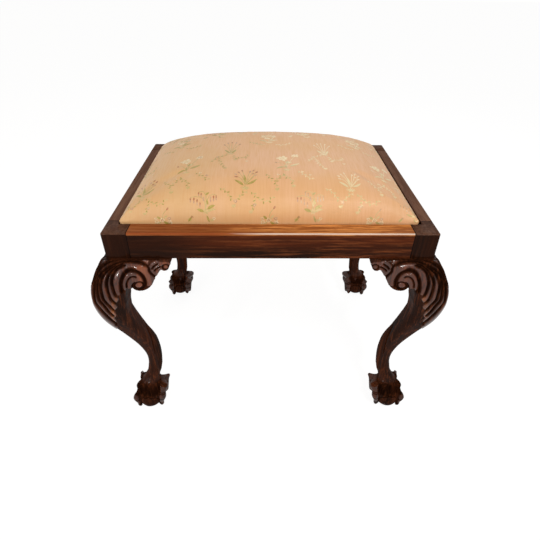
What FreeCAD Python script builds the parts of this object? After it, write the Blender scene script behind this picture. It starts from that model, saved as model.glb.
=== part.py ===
import FreeCAD, Part
import math
import os

# A carved mahogany stool with four cabriole legs and a drop-in upholstered seat.
# Millimetres. X runs along the front, Y runs from front to back, Z is up.
# The origin is on the floor under the middle of the stool.

V = FreeCAD.Vector

# Overall frame
stool_width = 560.0
stool_depth = 426.0
rail_top = 455.0
rail_height = 49.0
post_width = 42.0
edge_round = 3.0

# Rails: a lip beside the seat, and a ledge under it
front_lip = 31.0
side_lip = 21.0
ledge_width = 11.0
rebate_depth = 14.0

# Mortise and tenon joints
tenon_length = 24.0
tenon_thickness = 10.0
tenon_height = 33.0
tenon_shoulder = 5.0
front_tenon_inset = 10.0
side_tenon_inset = 6.0
glue_gap = 0.1
mortise_end_gap = 1.0

# Knee brackets and the carved scroll that they carry on from the leg
bracket_reach = 112.0
bracket_split = 45.0
bracket_back = 18.0
scroll_start = 6.0
scroll_drop = 60.0
knee_swell = 34.0

# Ball and claw foot
ball_radius = 27.0
ball_inset = 12.0
ball_flat = 1.5
ankle_inset = 31.7
claw_height = 108.0
claw_reach = 34.0
claw_thickness = 9.0

# Corner blocks and their screws
block_leg = 70.0
block_thickness = 26.0
block_drop = 3.0
screw_length = 32.0
screw_shank = 4.0
screw_core = 2.8
screw_head = 8.0
screw_head_depth = 2.4
screw_slot = 1.0
screw_recess = 4.0
screw_side = 45.0
screw_clearance = 0.05
screw_bore = 9.0

# Drop-in seat frame
seat_gap = 3.5
seat_shift = 2.0
seat_corner = 12.0
seat_member = 50.0
seat_thickness = 20.0
seat_lift_gap = 0.3

# Upholstery, from the webbing up
layer_gap = 0.3
webbing_width = 50.0
webbing_thickness = 1.5
webbing_margin = 14.0
webbing_rise = 9.0
long_webbing_count = 3
cross_webbing_count = 4
hessian_thickness = 0.8
hessian_margin = 8.0
calico_thickness = 0.6
wadding_thickness = 3.0
cover_thickness = 0.8
cover_turn_under = 32.0
crown_height = 62.0
crown_run = 160.0

# Tacks
tack_head = 7.0
tack_head_thickness = 1.0
tack_length = 11.0
tack_shank = 1.6
tack_spacing = 29.0
tack_inset = 19.0
webbing_tacks_per_end = 4
tack_clearance = 0.05

# Worked out from the sizes above
half_width = stool_width / 2
half_depth = stool_depth / 2
rail_bottom = rail_top - rail_height
ledge_top = rail_top - rebate_depth
front_thickness = front_lip + ledge_width
side_thickness = side_lip + ledge_width
tenon_bottom = rail_bottom + tenon_shoulder
tenon_top = tenon_bottom + tenon_height
block_top = ledge_top - block_drop
block_bottom = block_top - block_thickness
cover_bottom = ledge_top + seat_lift_gap
seat_bottom = cover_bottom + cover_thickness + layer_gap
seat_top = seat_bottom + seat_thickness
cover_half_x = half_width - side_lip - seat_gap
cover_half_y = half_depth - front_lip - seat_gap
seat_half_x = cover_half_x - cover_thickness - layer_gap
seat_half_y = cover_half_y - cover_thickness - layer_gap
webbing_bottom = seat_top + layer_gap
hessian_bottom = webbing_bottom + 2 * (webbing_thickness + layer_gap)
stuffing_bottom = hessian_bottom + hessian_thickness + layer_gap
overrun = rail_height

# The leg from the post down to the top of the ball: its height as a share of the leg's height,
# then its outer side, inner side and corner radius as shares of the post's width.
leg_shares = (
    (1.0, -0.13, 1.0, 0.12),
    (0.975, -0.33, 0.975, 0.21),
    (0.936, -0.55, 0.89, 0.28),
    (0.88, -0.74, 0.73, 0.335),
    (0.813, -0.8, 0.595, 0.38),
    (0.746, -0.73, 0.635, 0.38),
    (0.677, -0.56, 0.745, 0.37),
    (0.608, -0.305, 0.865, 0.345),
    (0.53, -0.03, 0.985, 0.325),
    (0.456, 0.21, 1.075, 0.3),
    (0.389, 0.37, 1.125, 0.3),
    (0.332, 0.44, 1.13, 0.325),
    (0.286, 0.43, 1.1, 0.33),
    (0.246, 0.36, 1.07, 0.345),
    (0.212, 0.225, 1.06, 0.38),
    (0.177, -0.03, 1.035, 0.45),
    (0.148, -0.2, 0.965, 0.5),
    (0.118, -0.31, 0.92, 0.55),
    (0.089, -0.36, 0.935, 0.62),
)

# The scroll and bracket seen square on: distance from the post's corner as a share of the
# bracket's reach, and drop below the rail as a share of the scroll's drop. Each row is the
# middle and the end of an arc.
scroll_shares = (
    ((0.974, 0.11), (0.9375, 0.25)),
    ((0.884, 0.375), (0.821, 0.317)),
    ((0.79, 0.35), (0.772, 0.408)),
    ((0.697, 0.62), (0.643, 0.808)),
    ((0.605, 0.91), (0.54, 0.98)),
    ((0.44, 0.975), (0.357, 0.8)),
)

# The swell of the scroll in plan, as shares of the bracket's reach and of the knee's swell
swell_shares = ((0.054, 0.94), (0.22, 0.83), (0.4, 0.56), (0.58, 0.35), (0.79, 0.18), (1.0, 0.06))

# The shoulder under the rail, as shares of the knee's swell and of the scroll's drop
shoulder_shares = ((0.16, 0.0), (0.42, 0.17), (0.69, 0.43), (0.92, 0.82), (1.0, 1.1))

# A claw from the ankle to its nail: height, share of the way back to the ankle, reach from the
# ball's middle, and thickness
claw_shares = (
    (1.0, 1.0, 0.1, 0.8),
    (0.8, 0.74, 0.4, 0.88),
    (0.67, 0.5, 0.76, 1.0),
    (0.575, 0.34, 0.93, 1.0),
    (0.46, 0.14, 0.97, 0.78),
    (0.365, 0.02, 1.0, 0.9),
    (0.24, 0.0, 0.9, 0.7),
    (0.12, 0.0, 0.83, 0.58),
    (0.042, 0.0, 0.78, 0.27),
)
claw_angles = (214.0, 335.0, 38.0, 125.0)

# The crown of the seat: inset from its edge as a share of the crown's run, and height as a share
# of the rise from the top of the seat frame
crown_shares = (
    (0.0, 0.0),
    (0.012, 0.11),
    (0.032, 0.25),
    (0.065, 0.41),
    (0.115, 0.57),
    (0.19, 0.72),
    (0.3, 0.84),
    (0.45, 0.92),
    (0.62, 0.965),
    (0.81, 0.99),
    (1.0, 1.0),
)
corner_growth_share = 0.45
corner_limit_share = 0.8


def box(x0, x1, y0, y1, z0, z1):
    """A box between two corners."""
    return Part.makeBox(x1 - x0, y1 - y0, z1 - z0, V(x0, y0, z0))


def prism(points, along):
    """A solid pushed from a closed outline of straight sides."""
    return Part.Face(Part.makePolygon(points + [points[0]])).extrude(along)


def in_corner(shape, side, end):
    """A shape made for the front left corner, put in its own corner of the stool."""
    placed = shape.translated(V(-half_width, -half_depth, 0))
    if side > 0:
        placed = placed.mirror(V(0, 0, 0), V(1, 0, 0))
    if end > 0:
        placed = placed.mirror(V(0, 0, 0), V(0, 1, 0))
    return placed


def rounded_square(z, low, high, radius):
    """A level square wire with round corners, the same in X and Y."""
    return rounded_outline(z, low, high, low, high, radius)


def rounded_outline(z, x0, x1, y0, y1, radius):
    """A level rectangular wire with round corners."""
    turn = radius * (1 - math.sqrt(0.5))
    sides = [
        Part.LineSegment(V(x0 + radius, y0, z), V(x1 - radius, y0, z)),
        Part.Arc(V(x1 - radius, y0, z), V(x1 - turn, y0 + turn, z), V(x1, y0 + radius, z)),
        Part.LineSegment(V(x1, y0 + radius, z), V(x1, y1 - radius, z)),
        Part.Arc(V(x1, y1 - radius, z), V(x1 - turn, y1 - turn, z), V(x1 - radius, y1, z)),
        Part.LineSegment(V(x1 - radius, y1, z), V(x0 + radius, y1, z)),
        Part.Arc(V(x0 + radius, y1, z), V(x0 + turn, y1 - turn, z), V(x0, y1 - radius, z)),
        Part.LineSegment(V(x0, y1 - radius, z), V(x0, y0 + radius, z)),
        Part.Arc(V(x0, y0 + radius, z), V(x0 + turn, y0 + turn, z), V(x0 + radius, y0, z)),
    ]
    return Part.Wire([side.toShape() for side in sides])


def long_rail(end):
    """The front or back rail, with its ledge and a tenon at each end."""
    length = stool_width - 2 * post_width
    rail = box(post_width, post_width + length, 0, front_thickness, rail_bottom, rail_top)
    rail = rail.cut(box(0, stool_width, front_lip, front_thickness, ledge_top, rail_top))
    top_edges = [
        edge for edge in rail.Edges
        if edge.BoundBox.YMax < glue_gap and edge.BoundBox.ZMin > rail_top - glue_gap
    ]
    rail = rail.makeFillet(edge_round, top_edges)
    tenons = box(
        post_width - tenon_length,
        post_width + length + tenon_length,
        front_tenon_inset,
        front_tenon_inset + tenon_thickness,
        tenon_bottom,
        tenon_top,
    )
    rail = rail.fuse(tenons).removeSplitter()
    for place in block_screw_places(1):
        rail = rail.cut(screw_hole(place))
        rail = rail.cut(screw_hole(place).mirror(V(half_width, 0, 0), V(1, 0, 0)))
    return in_corner(rail, -1, end)


def side_rail(side):
    """The left or right rail, with its ledge and a tenon at each end."""
    length = stool_depth - 2 * post_width
    rail = box(0, side_thickness, post_width, post_width + length, rail_bottom, rail_top)
    rail = rail.cut(box(side_lip, side_thickness, 0, stool_depth, ledge_top, rail_top))
    top_edges = [
        edge for edge in rail.Edges
        if edge.BoundBox.XMax < glue_gap and edge.BoundBox.ZMin > rail_top - glue_gap
    ]
    rail = rail.makeFillet(edge_round, top_edges)
    tenons = box(
        side_tenon_inset,
        side_tenon_inset + tenon_thickness,
        post_width - tenon_length,
        post_width + length + tenon_length,
        tenon_bottom,
        tenon_top,
    )
    rail = rail.fuse(tenons).removeSplitter()
    for place in block_screw_places(0):
        rail = rail.cut(screw_hole(place))
        rail = rail.cut(screw_hole(place).mirror(V(0, half_depth, 0), V(0, 1, 0)))
    return in_corner(rail, side, -1)


def post():
    """The square top of a leg, with its mortises and the notch for the seat's corner."""
    block = box(0, post_width, 0, post_width, rail_bottom - edge_round, rail_top)
    outer_edges = [
        edge for edge in block.Edges
        if (edge.BoundBox.YMax < glue_gap or edge.BoundBox.XMax < glue_gap)
        and (edge.BoundBox.ZMin > rail_top - glue_gap or edge.BoundBox.ZLength > edge_round)
        and max(edge.BoundBox.XMin, edge.BoundBox.YMin) < glue_gap
    ]
    block = block.makeFillet(edge_round, outer_edges)
    block = block.cut(box(side_lip, post_width, front_lip, post_width, ledge_top, rail_top))
    depth = tenon_length + mortise_end_gap
    front_mortise = box(
        post_width - depth,
        post_width,
        front_tenon_inset - glue_gap,
        front_tenon_inset + tenon_thickness + glue_gap,
        tenon_bottom - glue_gap,
        tenon_top + glue_gap,
    )
    side_mortise = box(
        side_tenon_inset - glue_gap,
        side_tenon_inset + tenon_thickness + glue_gap,
        post_width - depth,
        post_width,
        tenon_bottom - glue_gap,
        tenon_top + glue_gap,
    )
    return block.cut(front_mortise.fuse(side_mortise))


def cabriole():
    """The curved leg from under the rail to the skin over the ball."""
    wires = [
        rounded_square(
            height * rail_bottom, low * post_width, high * post_width, corner * post_width
        )
        for height, low, high, corner in leg_shares
    ]
    return Part.makeLoft(wires, True, False)


def scroll_wing():
    """The carved scroll of the front face, from the knee to the tip of the bracket."""
    at = V(bracket_reach, -knee_swell - overrun, rail_bottom)
    edges = []
    for middle, end in scroll_shares:
        points = [
            V(share * bracket_reach, at.y, rail_bottom - drop * scroll_drop)
            for share, drop in (middle, end)
        ]
        edges.append(Part.Arc(at, points[0], points[1]).toShape())
        at = points[1]
    for corner in (
        V(scroll_start, at.y, at.z),
        V(scroll_start, at.y, rail_bottom),
        V(bracket_reach, at.y, rail_bottom),
    ):
        edges.append(Part.makeLine(at, corner))
        at = corner
    outline = Part.Face(Part.Wire(edges)).extrude(V(0, 2 * (knee_swell + overrun), 0))

    low = rail_bottom - scroll_drop - overrun
    swell = [
        V(along * bracket_reach, -out * knee_swell, low) for along, out in swell_shares
    ]
    curve = Part.BSplineCurve()
    curve.interpolate(swell)
    back = [V(bracket_reach, bracket_back, low), V(scroll_start, bracket_back, low)]
    plan_edges = [curve.toShape()]
    for start, end in zip([swell[-1]] + back, back + [swell[0]]):
        plan_edges.append(Part.makeLine(start, end))
    plan = Part.Face(Part.Wire(plan_edges)).extrude(V(0, 0, scroll_drop + 2 * overrun))

    shoulder = [
        V(0, -out * knee_swell, rail_bottom - drop * scroll_drop) for out, drop in shoulder_shares
    ]
    curve = Part.BSplineCurve()
    curve.interpolate(shoulder)
    floor = shoulder[-1].z
    back = [V(0, bracket_back, floor), V(0, bracket_back, rail_bottom)]
    side_edges = [curve.toShape()]
    for start, end in zip([shoulder[-1]] + back, back + [shoulder[0]]):
        side_edges.append(Part.makeLine(start, end))
    side = Part.Face(Part.Wire(side_edges)).extrude(V(bracket_reach, 0, 0))
    return outline.common(plan).common(side)


def wing_between(start, end):
    """The stretch of the front scroll between two distances from the post's corner."""
    reach = overrun + knee_swell
    keep = box(start, end, -reach, reach, rail_bottom - scroll_drop - reach, rail_bottom + reach)
    return scroll_wing().common(keep)


def across_corner(shape):
    """A shape of the front face, turned into its twin on the side face."""
    return shape.mirror(V(0, 0, 0), V(1, -1, 0))


def claw(angle):
    """One claw, from the ankle over its knuckles to the tip of its nail."""
    out = V(math.cos(math.radians(angle)), math.sin(math.radians(angle)), 0)
    path = []
    for height, back, reach, thick in claw_shares:
        inset = ball_inset + back * (ankle_inset - ball_inset)
        place = V(inset, inset, height * claw_height) + out * (reach * claw_reach)
        path.append((place, thick * claw_thickness))
    wires = []
    for index, (place, radius) in enumerate(path):
        before = path[max(index - 1, 0)][0]
        after = path[min(index + 1, len(path) - 1)][0]
        ring = Part.Circle(place, after - before, radius)
        wires.append(Part.Wire([ring.toShape()]))
    return Part.makeLoft(wires, True, False)


def foot():
    """The ball with its four claws, cut flat where it stands on the floor."""
    middle = V(ball_inset, ball_inset, ball_radius - ball_flat)
    ball = Part.makeSphere(ball_radius, middle)
    size = 2 * ball_radius
    under = box(
        ball_inset - size, ball_inset + size, ball_inset - size, ball_inset + size, -size, 0
    )
    body = ball.cut(under)
    for angle in claw_angles:
        body = body.fuse(claw(angle))
    return body


def leg():
    """A whole leg: post, knee with the near half of each scroll, shank, ball and claws."""
    near = wing_between(scroll_start, bracket_split)
    body = post().fuse(cabriole())
    body = body.fuse(near)
    body = body.fuse(across_corner(near))
    body = body.fuse(foot())
    return body.removeSplitter()


def corner_block():
    """The triangular glue block inside the rails, with its screw holes."""
    corner = V(side_thickness, front_thickness, block_bottom)
    block = prism(
        [corner, corner + V(block_leg, 0, 0), corner + V(0, block_leg, 0)],
        V(0, 0, block_thickness),
    )
    for way in (0, 1):
        for place in block_screw_places(way):
            block = block.cut(screw_hole(place))
    return block


def block_screw_places(way):
    """Where the screws of a block start and which way they point: way 1 is into the long rail."""
    height = block_bottom + block_thickness / 2
    seat = block_leg - screw_side - screw_recess
    if way:
        return [(V(side_thickness + screw_side, front_thickness + seat, height), V(0, -1, 0))]
    return [(V(side_thickness + seat, front_thickness + screw_side, height), V(-1, 0, 0))]


def screw_hole(place):
    """The stepped hole of a screw, with room for a screwdriver behind its head."""
    start, way = place
    hole = Part.makeCylinder(screw_shank / 2 + screw_clearance, screw_length / 2, start, way)
    core = Part.makeCylinder(
        screw_core / 2 + screw_clearance, screw_length + screw_clearance, start, way
    )
    sink = Part.makeCone(
        screw_head / 2 + screw_clearance, screw_shank / 2 + screw_clearance, screw_head_depth,
        start, way,
    )
    driver = Part.makeCylinder(screw_bore / 2, block_leg, start, -way)
    return hole.fuse(core).fuse(sink).fuse(driver)


def screw(place):
    """A slotted countersunk wood screw."""
    start, way = place
    body = Part.makeCylinder(screw_shank / 2, screw_length / 2, start, way)
    tip = 2 * screw_core
    body = body.fuse(Part.makeCylinder(screw_core / 2, screw_length - tip, start, way))
    end = start + way * (screw_length - tip)
    body = body.fuse(Part.makeCone(screw_core / 2, screw_core / 10, tip, end, way))
    body = body.fuse(Part.makeCone(screw_head / 2, screw_shank / 2, screw_head_depth, start, way))
    slot = box(
        start.x - screw_head, start.x + screw_head,
        start.y - screw_head, start.y + screw_head,
        start.z - screw_slot / 2, start.z + screw_slot / 2,
    )
    near = Part.makeCylinder(screw_head, screw_head_depth / 2, start, way)
    return body.cut(slot.common(near))


def all_screws():
    """Every corner block screw, as one group."""
    screws = []
    for side in (-1, 1):
        for end in (-1, 1):
            for way in (0, 1):
                for place in block_screw_places(way):
                    screws.append(in_corner(screw(place), side, end))
    return Part.makeCompound(screws)


def strip_places(count, half):
    """Middles of evenly spaced webbing strips inside the seat frame."""
    inner = half - seat_member
    gap = (2 * inner - count * webbing_width) / (count + 1)
    return [-inner + gap + webbing_width / 2 + i * (gap + webbing_width) for i in range(count)]


def tack_row(across):
    """Offsets of the tacks across one end of a strip."""
    step = webbing_width / webbing_tacks_per_end
    return [across + (i + 0.5) * step - webbing_width / 2 for i in range(webbing_tacks_per_end)]


def webbing_tack_places():
    """Tops of the tacks that hold the webbing's ends."""
    top = webbing_bottom + webbing_thickness
    end_x = seat_half_x - webbing_margin - tack_head
    end_y = seat_half_y - webbing_margin - tack_head
    places = []
    for across in strip_places(long_webbing_count, seat_half_y):
        for y in tack_row(across):
            places += [V(-end_x, y, top), V(end_x, y, top)]
    for across in strip_places(cross_webbing_count, seat_half_x):
        for x in tack_row(across):
            places += [V(x, -end_y, top), V(x, end_y, top)]
    return places


def cover_tack_places():
    """Undersides of the tacks that hold the turned-under cover."""
    run_x = cover_half_x - tack_inset
    run_y = cover_half_y - tack_inset
    count_x = int(2 * run_x / tack_spacing)
    count_y = int(2 * run_y / tack_spacing)
    places = []
    for i in range(count_x + 1):
        x = -run_x + 2 * run_x * i / count_x
        places += [V(x, -run_y, cover_bottom), V(x, run_y, cover_bottom)]
    for i in range(1, count_y):
        y = -run_y + 2 * run_y * i / count_y
        places += [V(-run_x, y, cover_bottom), V(run_x, y, cover_bottom)]
    return places


def tack(place, way):
    """An upholstery tack: way points from its head to its tip."""
    head = Part.makeCylinder(tack_head / 2, tack_head_thickness, place, -way)
    shank = Part.makeCone(tack_shank / 2, tack_shank / 8, tack_length, place, way)
    return head.fuse(shank)


def tack_holes(places, way):
    """Holes that the shanks of some tacks fill."""
    wide = tack_shank / 2 + tack_clearance
    narrow = tack_shank / 8 + tack_clearance
    return Part.makeCompound(
        [Part.makeCone(wide, narrow, tack_length + tack_clearance, p, way) for p in places]
    )


def on_seat(shape):
    """A piece of the seat, moved with it towards the side where it lies in its opening."""
    return shape.translated(V(-seat_shift, 0, 0))


def seat_member_solid(way, side):
    """One side of the seat frame, halved over its neighbours at both ends."""
    middle = seat_bottom + seat_thickness / 2
    if way:
        solid = box(
            -seat_half_x, seat_half_x, -seat_half_y, seat_member - seat_half_y,
            seat_bottom, seat_top,
        )
        for x0 in (-seat_half_x, seat_half_x - seat_member):
            solid = solid.cut(
                box(x0, x0 + seat_member, -seat_half_y, seat_half_y, middle, seat_top)
            )
        turned = solid if side < 0 else solid.mirror(V(0, 0, 0), V(0, 1, 0))
    else:
        solid = box(
            -seat_half_x, seat_member - seat_half_x, -seat_half_y, seat_half_y,
            seat_bottom, seat_top,
        )
        for y0 in (-seat_half_y, seat_half_y - seat_member):
            solid = solid.cut(
                box(-seat_half_x, seat_half_x, y0, y0 + seat_member, seat_bottom, middle)
            )
        turned = solid if side < 0 else solid.mirror(V(0, 0, 0), V(1, 0, 0))
    wire = rounded_outline(
        seat_bottom, -seat_half_x, seat_half_x, -seat_half_y, seat_half_y,
        seat_corner - cover_thickness - layer_gap,
    )
    keep = Part.Face(wire).extrude(V(0, 0, seat_thickness))
    turned = turned.common(keep)
    near = turned.BoundBox
    near.enlarge(tack_head)
    down = [p for p in webbing_tack_places() if near.isInside(V(p.x, p.y, middle))]
    up = [p for p in cover_tack_places() if near.isInside(V(p.x, p.y, middle))]
    turned = turned.cut(tack_holes(down, V(0, 0, -1)))
    return on_seat(turned.cut(tack_holes(up, V(0, 0, 1))))


def holed_strip(strip, places):
    """A webbing strip with the holes of the tacks that go through it."""
    return on_seat(strip.cut(tack_holes(places, V(0, 0, -1))))


def long_webbing(y):
    """A flat strip from side to side."""
    end = seat_half_x - webbing_margin
    strip = box(
        -end, end, y - webbing_width / 2, y + webbing_width / 2,
        webbing_bottom, webbing_bottom + webbing_thickness,
    )
    mine = [p for p in webbing_tack_places() if abs(p.y - y) < webbing_width / 2]
    ends = [p for p in mine if abs(p.x) > end - 2 * tack_head]
    return holed_strip(strip, ends)


def cross_webbing(index, x):
    """A strip from front to back, woven over and under the long strips."""
    end = seat_half_y - webbing_margin
    level = webbing_bottom
    step = webbing_thickness + layer_gap
    line = [(-end, level)]
    for count, y in enumerate(strip_places(long_webbing_count, seat_half_y)):
        height = level + step * (1 if (count + index) % 2 else -1)
        reach = webbing_width / 2 + layer_gap
        start = (y - reach, height)
        stop = (y + reach, height)
        if count:
            line += [start, stop]
        else:
            line += [(y - reach - webbing_rise, level), start, stop]
    line += [(line[-1][0] + webbing_rise, level), (end, level)]
    left = x - webbing_width / 2
    lower = [V(left, y, z) for y, z in line]
    upper = [V(left, y, z + webbing_thickness) for y, z in reversed(line)]
    strip = prism(lower + upper, V(webbing_width, 0, 0))
    mine = [p for p in webbing_tack_places() if abs(p.x - x) < webbing_width / 2]
    ends = [p for p in mine if abs(p.y) > end - 2 * tack_head]
    return holed_strip(strip, ends)


def crown_profile(depth):
    """Outer inset, inset and height along the crown, a given depth under the cover's outside."""
    foot = seat_top + layer_gap
    rise = rail_top + crown_height - foot
    points = [(0.0, seat_bottom + layer_gap)]
    points += [(run * crown_run, foot + up * rise) for run, up in crown_shares]
    profile = []
    for index, (inset, height) in enumerate(points):
        before = points[max(index - 1, 0)]
        after = points[min(index + 1, len(points) - 1)]
        run = after[0] - before[0]
        up = after[1] - before[1]
        length = math.hypot(run, up)
        profile.append((inset, inset + depth * up / length, height - depth * run / length))
    return profile


def crowned(depth, bottom):
    """The solid under the crown at a given depth, straight-sided down to its bottom."""
    profile = crown_profile(depth)
    above = [row for row in profile if row[2] > bottom + layer_gap]
    foot_row = (above[0][0], above[0][1], bottom)
    if above[0] != profile[0]:
        under = profile[len(profile) - len(above) - 1]
        way_up = (bottom - under[2]) / (above[0][2] - under[2])
        foot_row = tuple(low + way_up * (high - low) for low, high in zip(under, above[0]))
    wires = []
    for outer_inset, inset, height in [foot_row] + above:
        half_x = cover_half_x - inset
        half_y = cover_half_y - inset
        radius = seat_corner + corner_growth_share * outer_inset - depth
        radius = min(radius, corner_limit_share * half_y)
        wires.append(rounded_outline(height, -half_x, half_x, -half_y, half_y, radius))
    return Part.makeLoft(wires, True, True)


def cover_depths():
    """Depth of each layer's outside under the outside of the cover."""
    wadding = cover_thickness + layer_gap
    calico = wadding + wadding_thickness + layer_gap
    stuffing = calico + calico_thickness + layer_gap
    return wadding, calico, stuffing


def top_cover():
    """The silk cover, over the crown, down the sides and turned under the frame."""
    shell = crowned(0, cover_bottom).cut(crowned(cover_thickness, seat_bottom - layer_gap))
    opening = box(
        cover_turn_under - cover_half_x, cover_half_x - cover_turn_under,
        cover_turn_under - cover_half_y, cover_half_y - cover_turn_under,
        cover_bottom - overrun, seat_bottom,
    )
    shell = shell.cut(opening)
    return on_seat(shell.cut(tack_holes(cover_tack_places(), V(0, 0, 1))))


def wadding():
    """The cotton wadding between the calico and the cover."""
    wadding_depth, calico_depth, _ = cover_depths()
    level = seat_top + layer_gap
    outer = crowned(wadding_depth, level)
    return on_seat(outer.cut(crowned(calico_depth - layer_gap, level - layer_gap)))


def calico():
    """The calico that holds the stuffing down."""
    _, calico_depth, stuffing_depth = cover_depths()
    level = seat_top + layer_gap
    outer = crowned(calico_depth, level)
    return on_seat(outer.cut(crowned(stuffing_depth - layer_gap, level - layer_gap)))


def stuffing():
    """The horsehair pad."""
    return on_seat(crowned(cover_depths()[2], stuffing_bottom))


def hessian():
    """The cloth that carries the stuffing over the webbing."""
    half_x = seat_half_x - hessian_margin
    half_y = seat_half_y - hessian_margin
    wire = rounded_outline(hessian_bottom, -half_x, half_x, -half_y, half_y, seat_corner)
    return on_seat(Part.Face(wire).extrude(V(0, 0, hessian_thickness)))


def tacks(places, way):
    """A group of tacks."""
    return on_seat(Part.makeCompound([tack(place, way) for place in places]))


def build():
    """Every piece of the stool under its own name."""
    nodes = {}
    nodes["front_rail"] = long_rail(-1)
    nodes["back_rail"] = long_rail(1)
    nodes["left_rail"] = side_rail(-1)
    nodes["right_rail"] = side_rail(1)

    whole_leg = leg()
    bracket = wing_between(bracket_split + glue_gap, bracket_reach + overrun)
    block = corner_block()
    for end, end_name in ((-1, "front"), (1, "back")):
        for side, side_name in ((-1, "left"), (1, "right")):
            corner = end_name + "_" + side_name
            nodes[corner + "_leg"] = in_corner(whole_leg, side, end)
            nodes[corner + "_long_bracket"] = in_corner(bracket, side, end)
            nodes[corner + "_side_bracket"] = in_corner(across_corner(bracket), side, end)
            nodes[corner + "_corner_block"] = in_corner(block, side, end)
    nodes["corner_block_screws"] = all_screws()

    nodes["seat_frame_front"] = seat_member_solid(1, -1)
    nodes["seat_frame_back"] = seat_member_solid(1, 1)
    nodes["seat_frame_left"] = seat_member_solid(0, -1)
    nodes["seat_frame_right"] = seat_member_solid(0, 1)
    for index, y in enumerate(strip_places(long_webbing_count, seat_half_y)):
        nodes["webbing_long_" + str(index + 1)] = long_webbing(y)
    for index, x in enumerate(strip_places(cross_webbing_count, seat_half_x)):
        nodes["webbing_cross_" + str(index + 1)] = cross_webbing(index, x)
    nodes["webbing_tacks"] = tacks(webbing_tack_places(), V(0, 0, -1))
    nodes["hessian"] = hessian()
    nodes["horsehair_stuffing"] = stuffing()
    nodes["calico"] = calico()
    nodes["wadding"] = wadding()
    nodes["top_cover"] = top_cover()
    nodes["cover_tacks"] = tacks(cover_tack_places(), V(0, 0, 1))
    return nodes


os.makedirs("parts", exist_ok=True)
for name, shape in build().items():
    shape.exportStep("parts/" + name + ".step")
    print(name, len(shape.Solids), shape.isValid(), round(shape.Volume))
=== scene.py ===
"""Dresses a carved mahogany stool with four cabriole legs and a silk drop-in seat."""
import logging
import math
from dataclasses import dataclass, field
from enum import Enum

import bpy
import numpy as np
from mathutils import Matrix, Vector


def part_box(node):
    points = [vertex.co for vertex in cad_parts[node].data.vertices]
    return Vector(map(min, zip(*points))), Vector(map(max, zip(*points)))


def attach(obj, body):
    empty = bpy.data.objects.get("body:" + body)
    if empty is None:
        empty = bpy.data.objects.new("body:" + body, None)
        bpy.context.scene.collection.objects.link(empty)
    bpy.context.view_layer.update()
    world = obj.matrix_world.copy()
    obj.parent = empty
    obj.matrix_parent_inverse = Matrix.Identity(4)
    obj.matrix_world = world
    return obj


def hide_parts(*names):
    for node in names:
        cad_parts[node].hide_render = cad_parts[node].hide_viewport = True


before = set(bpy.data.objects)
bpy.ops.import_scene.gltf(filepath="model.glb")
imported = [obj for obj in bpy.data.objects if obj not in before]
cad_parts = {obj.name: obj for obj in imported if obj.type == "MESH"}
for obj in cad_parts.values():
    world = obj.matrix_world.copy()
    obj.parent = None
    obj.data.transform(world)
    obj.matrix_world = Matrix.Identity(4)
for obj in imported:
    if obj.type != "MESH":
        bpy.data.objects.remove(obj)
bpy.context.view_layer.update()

LOG = logging.getLogger("stool")
MM = 0.001
MERGE = {"threshold": 1e-6}

# Short names of types, for the hints.
Piece = bpy.types.Object
Material = bpy.types.Material
Socket = bpy.types.NodeSocket
Rows = np.ndarray


class Grain(Enum):
    """The way that the grain of a piece of wood runs."""

    ALONG_X = 0
    ALONG_Y = 1
    ALONG_Z = 2


def ramp(value: Rows, low: float, high: float) -> Rows:
    """Rises smoothly from 0 to 1 between two values.

    Args:
        value: What is measured.
        low: Where the rise starts.
        high: Where the rise ends.

    Returns:
        The height of the ramp at each value.
    """
    share = np.clip((value - low) / (high - low), 0.0, 1.0)
    return share * share * (3 - 2 * share)


def table(value: Rows, rows: tuple) -> Rows:
    """Reads numbers off a table, with straight lines between its rows.

    Args:
        value: Where it is read.
        rows: Pairs of a place and its number, with the places rising or falling.

    Returns:
        The number at each value.
    """
    pairs = np.array(rows, float)
    if pairs[0, 0] > pairs[-1, 0]:
        value, pairs = -value, pairs * (-1, 1)
    return np.interp(value, *pairs.T)


def smooth_line(points: object, steps: int) -> Rows:
    """Draws a smooth curve through points.

    Args:
        points: The points that it passes.
        steps: How many steps it takes between two points.

    Returns:
        The curve's points as rows.
    """
    knots = np.array(points, float)
    knots = np.vstack([2 * knots[0] - knots[1], knots, 2 * knots[-1] - knots[-2]])
    share = np.linspace(0, 1, steps, endpoint=False)[:, None]
    rows = []
    for one, two, three, four in zip(knots[:-3], knots[1:-2], knots[2:-1], knots[3:]):
        rows.append(
            0.5 * (2 * two + (three - one) * share
                   + (2 * one - 5 * two + 4 * three - four) * share**2
                   + (3 * two - one - 3 * three + four) * share**3)
        )
    rows.append(knots[-2][None, :])
    return np.vstack(rows)


def gone_along(*rows: Rows) -> Rows:
    """Gives the distance gone along a line at each of its points, from its X and Y."""
    steps = np.hypot(*(np.diff(row) for row in rows))
    return np.concatenate([[0.0], np.cumsum(steps)])


def box_of(node: str) -> Rows:
    """Gives a node's lowest and highest corners in millimetres."""
    return np.array(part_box(node)) / MM


def pick(piece: Piece) -> Piece:
    """Makes one object the only selected and active one.

    Args:
        piece: The object to work on.

    Returns:
        The same object.
    """
    bpy.ops.object.select_all(action="DESELECT")
    piece.select_set(True)
    bpy.context.view_layer.objects.active = piece
    return piece


def mode(name: str) -> None:
    """Goes to edit mode or object mode."""
    bpy.ops.object.mode_set(mode=name)


def fresh(add: object, **settings: object) -> Piece:
    """Adds a primitive mesh.

    Args:
        add: The operator of bpy.ops.mesh that makes it.
        settings: The operator's settings.

    Returns:
        The new object.
    """
    bpy.ops.object.select_all(action="DESELECT")
    add(**settings)
    return bpy.context.object


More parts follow.
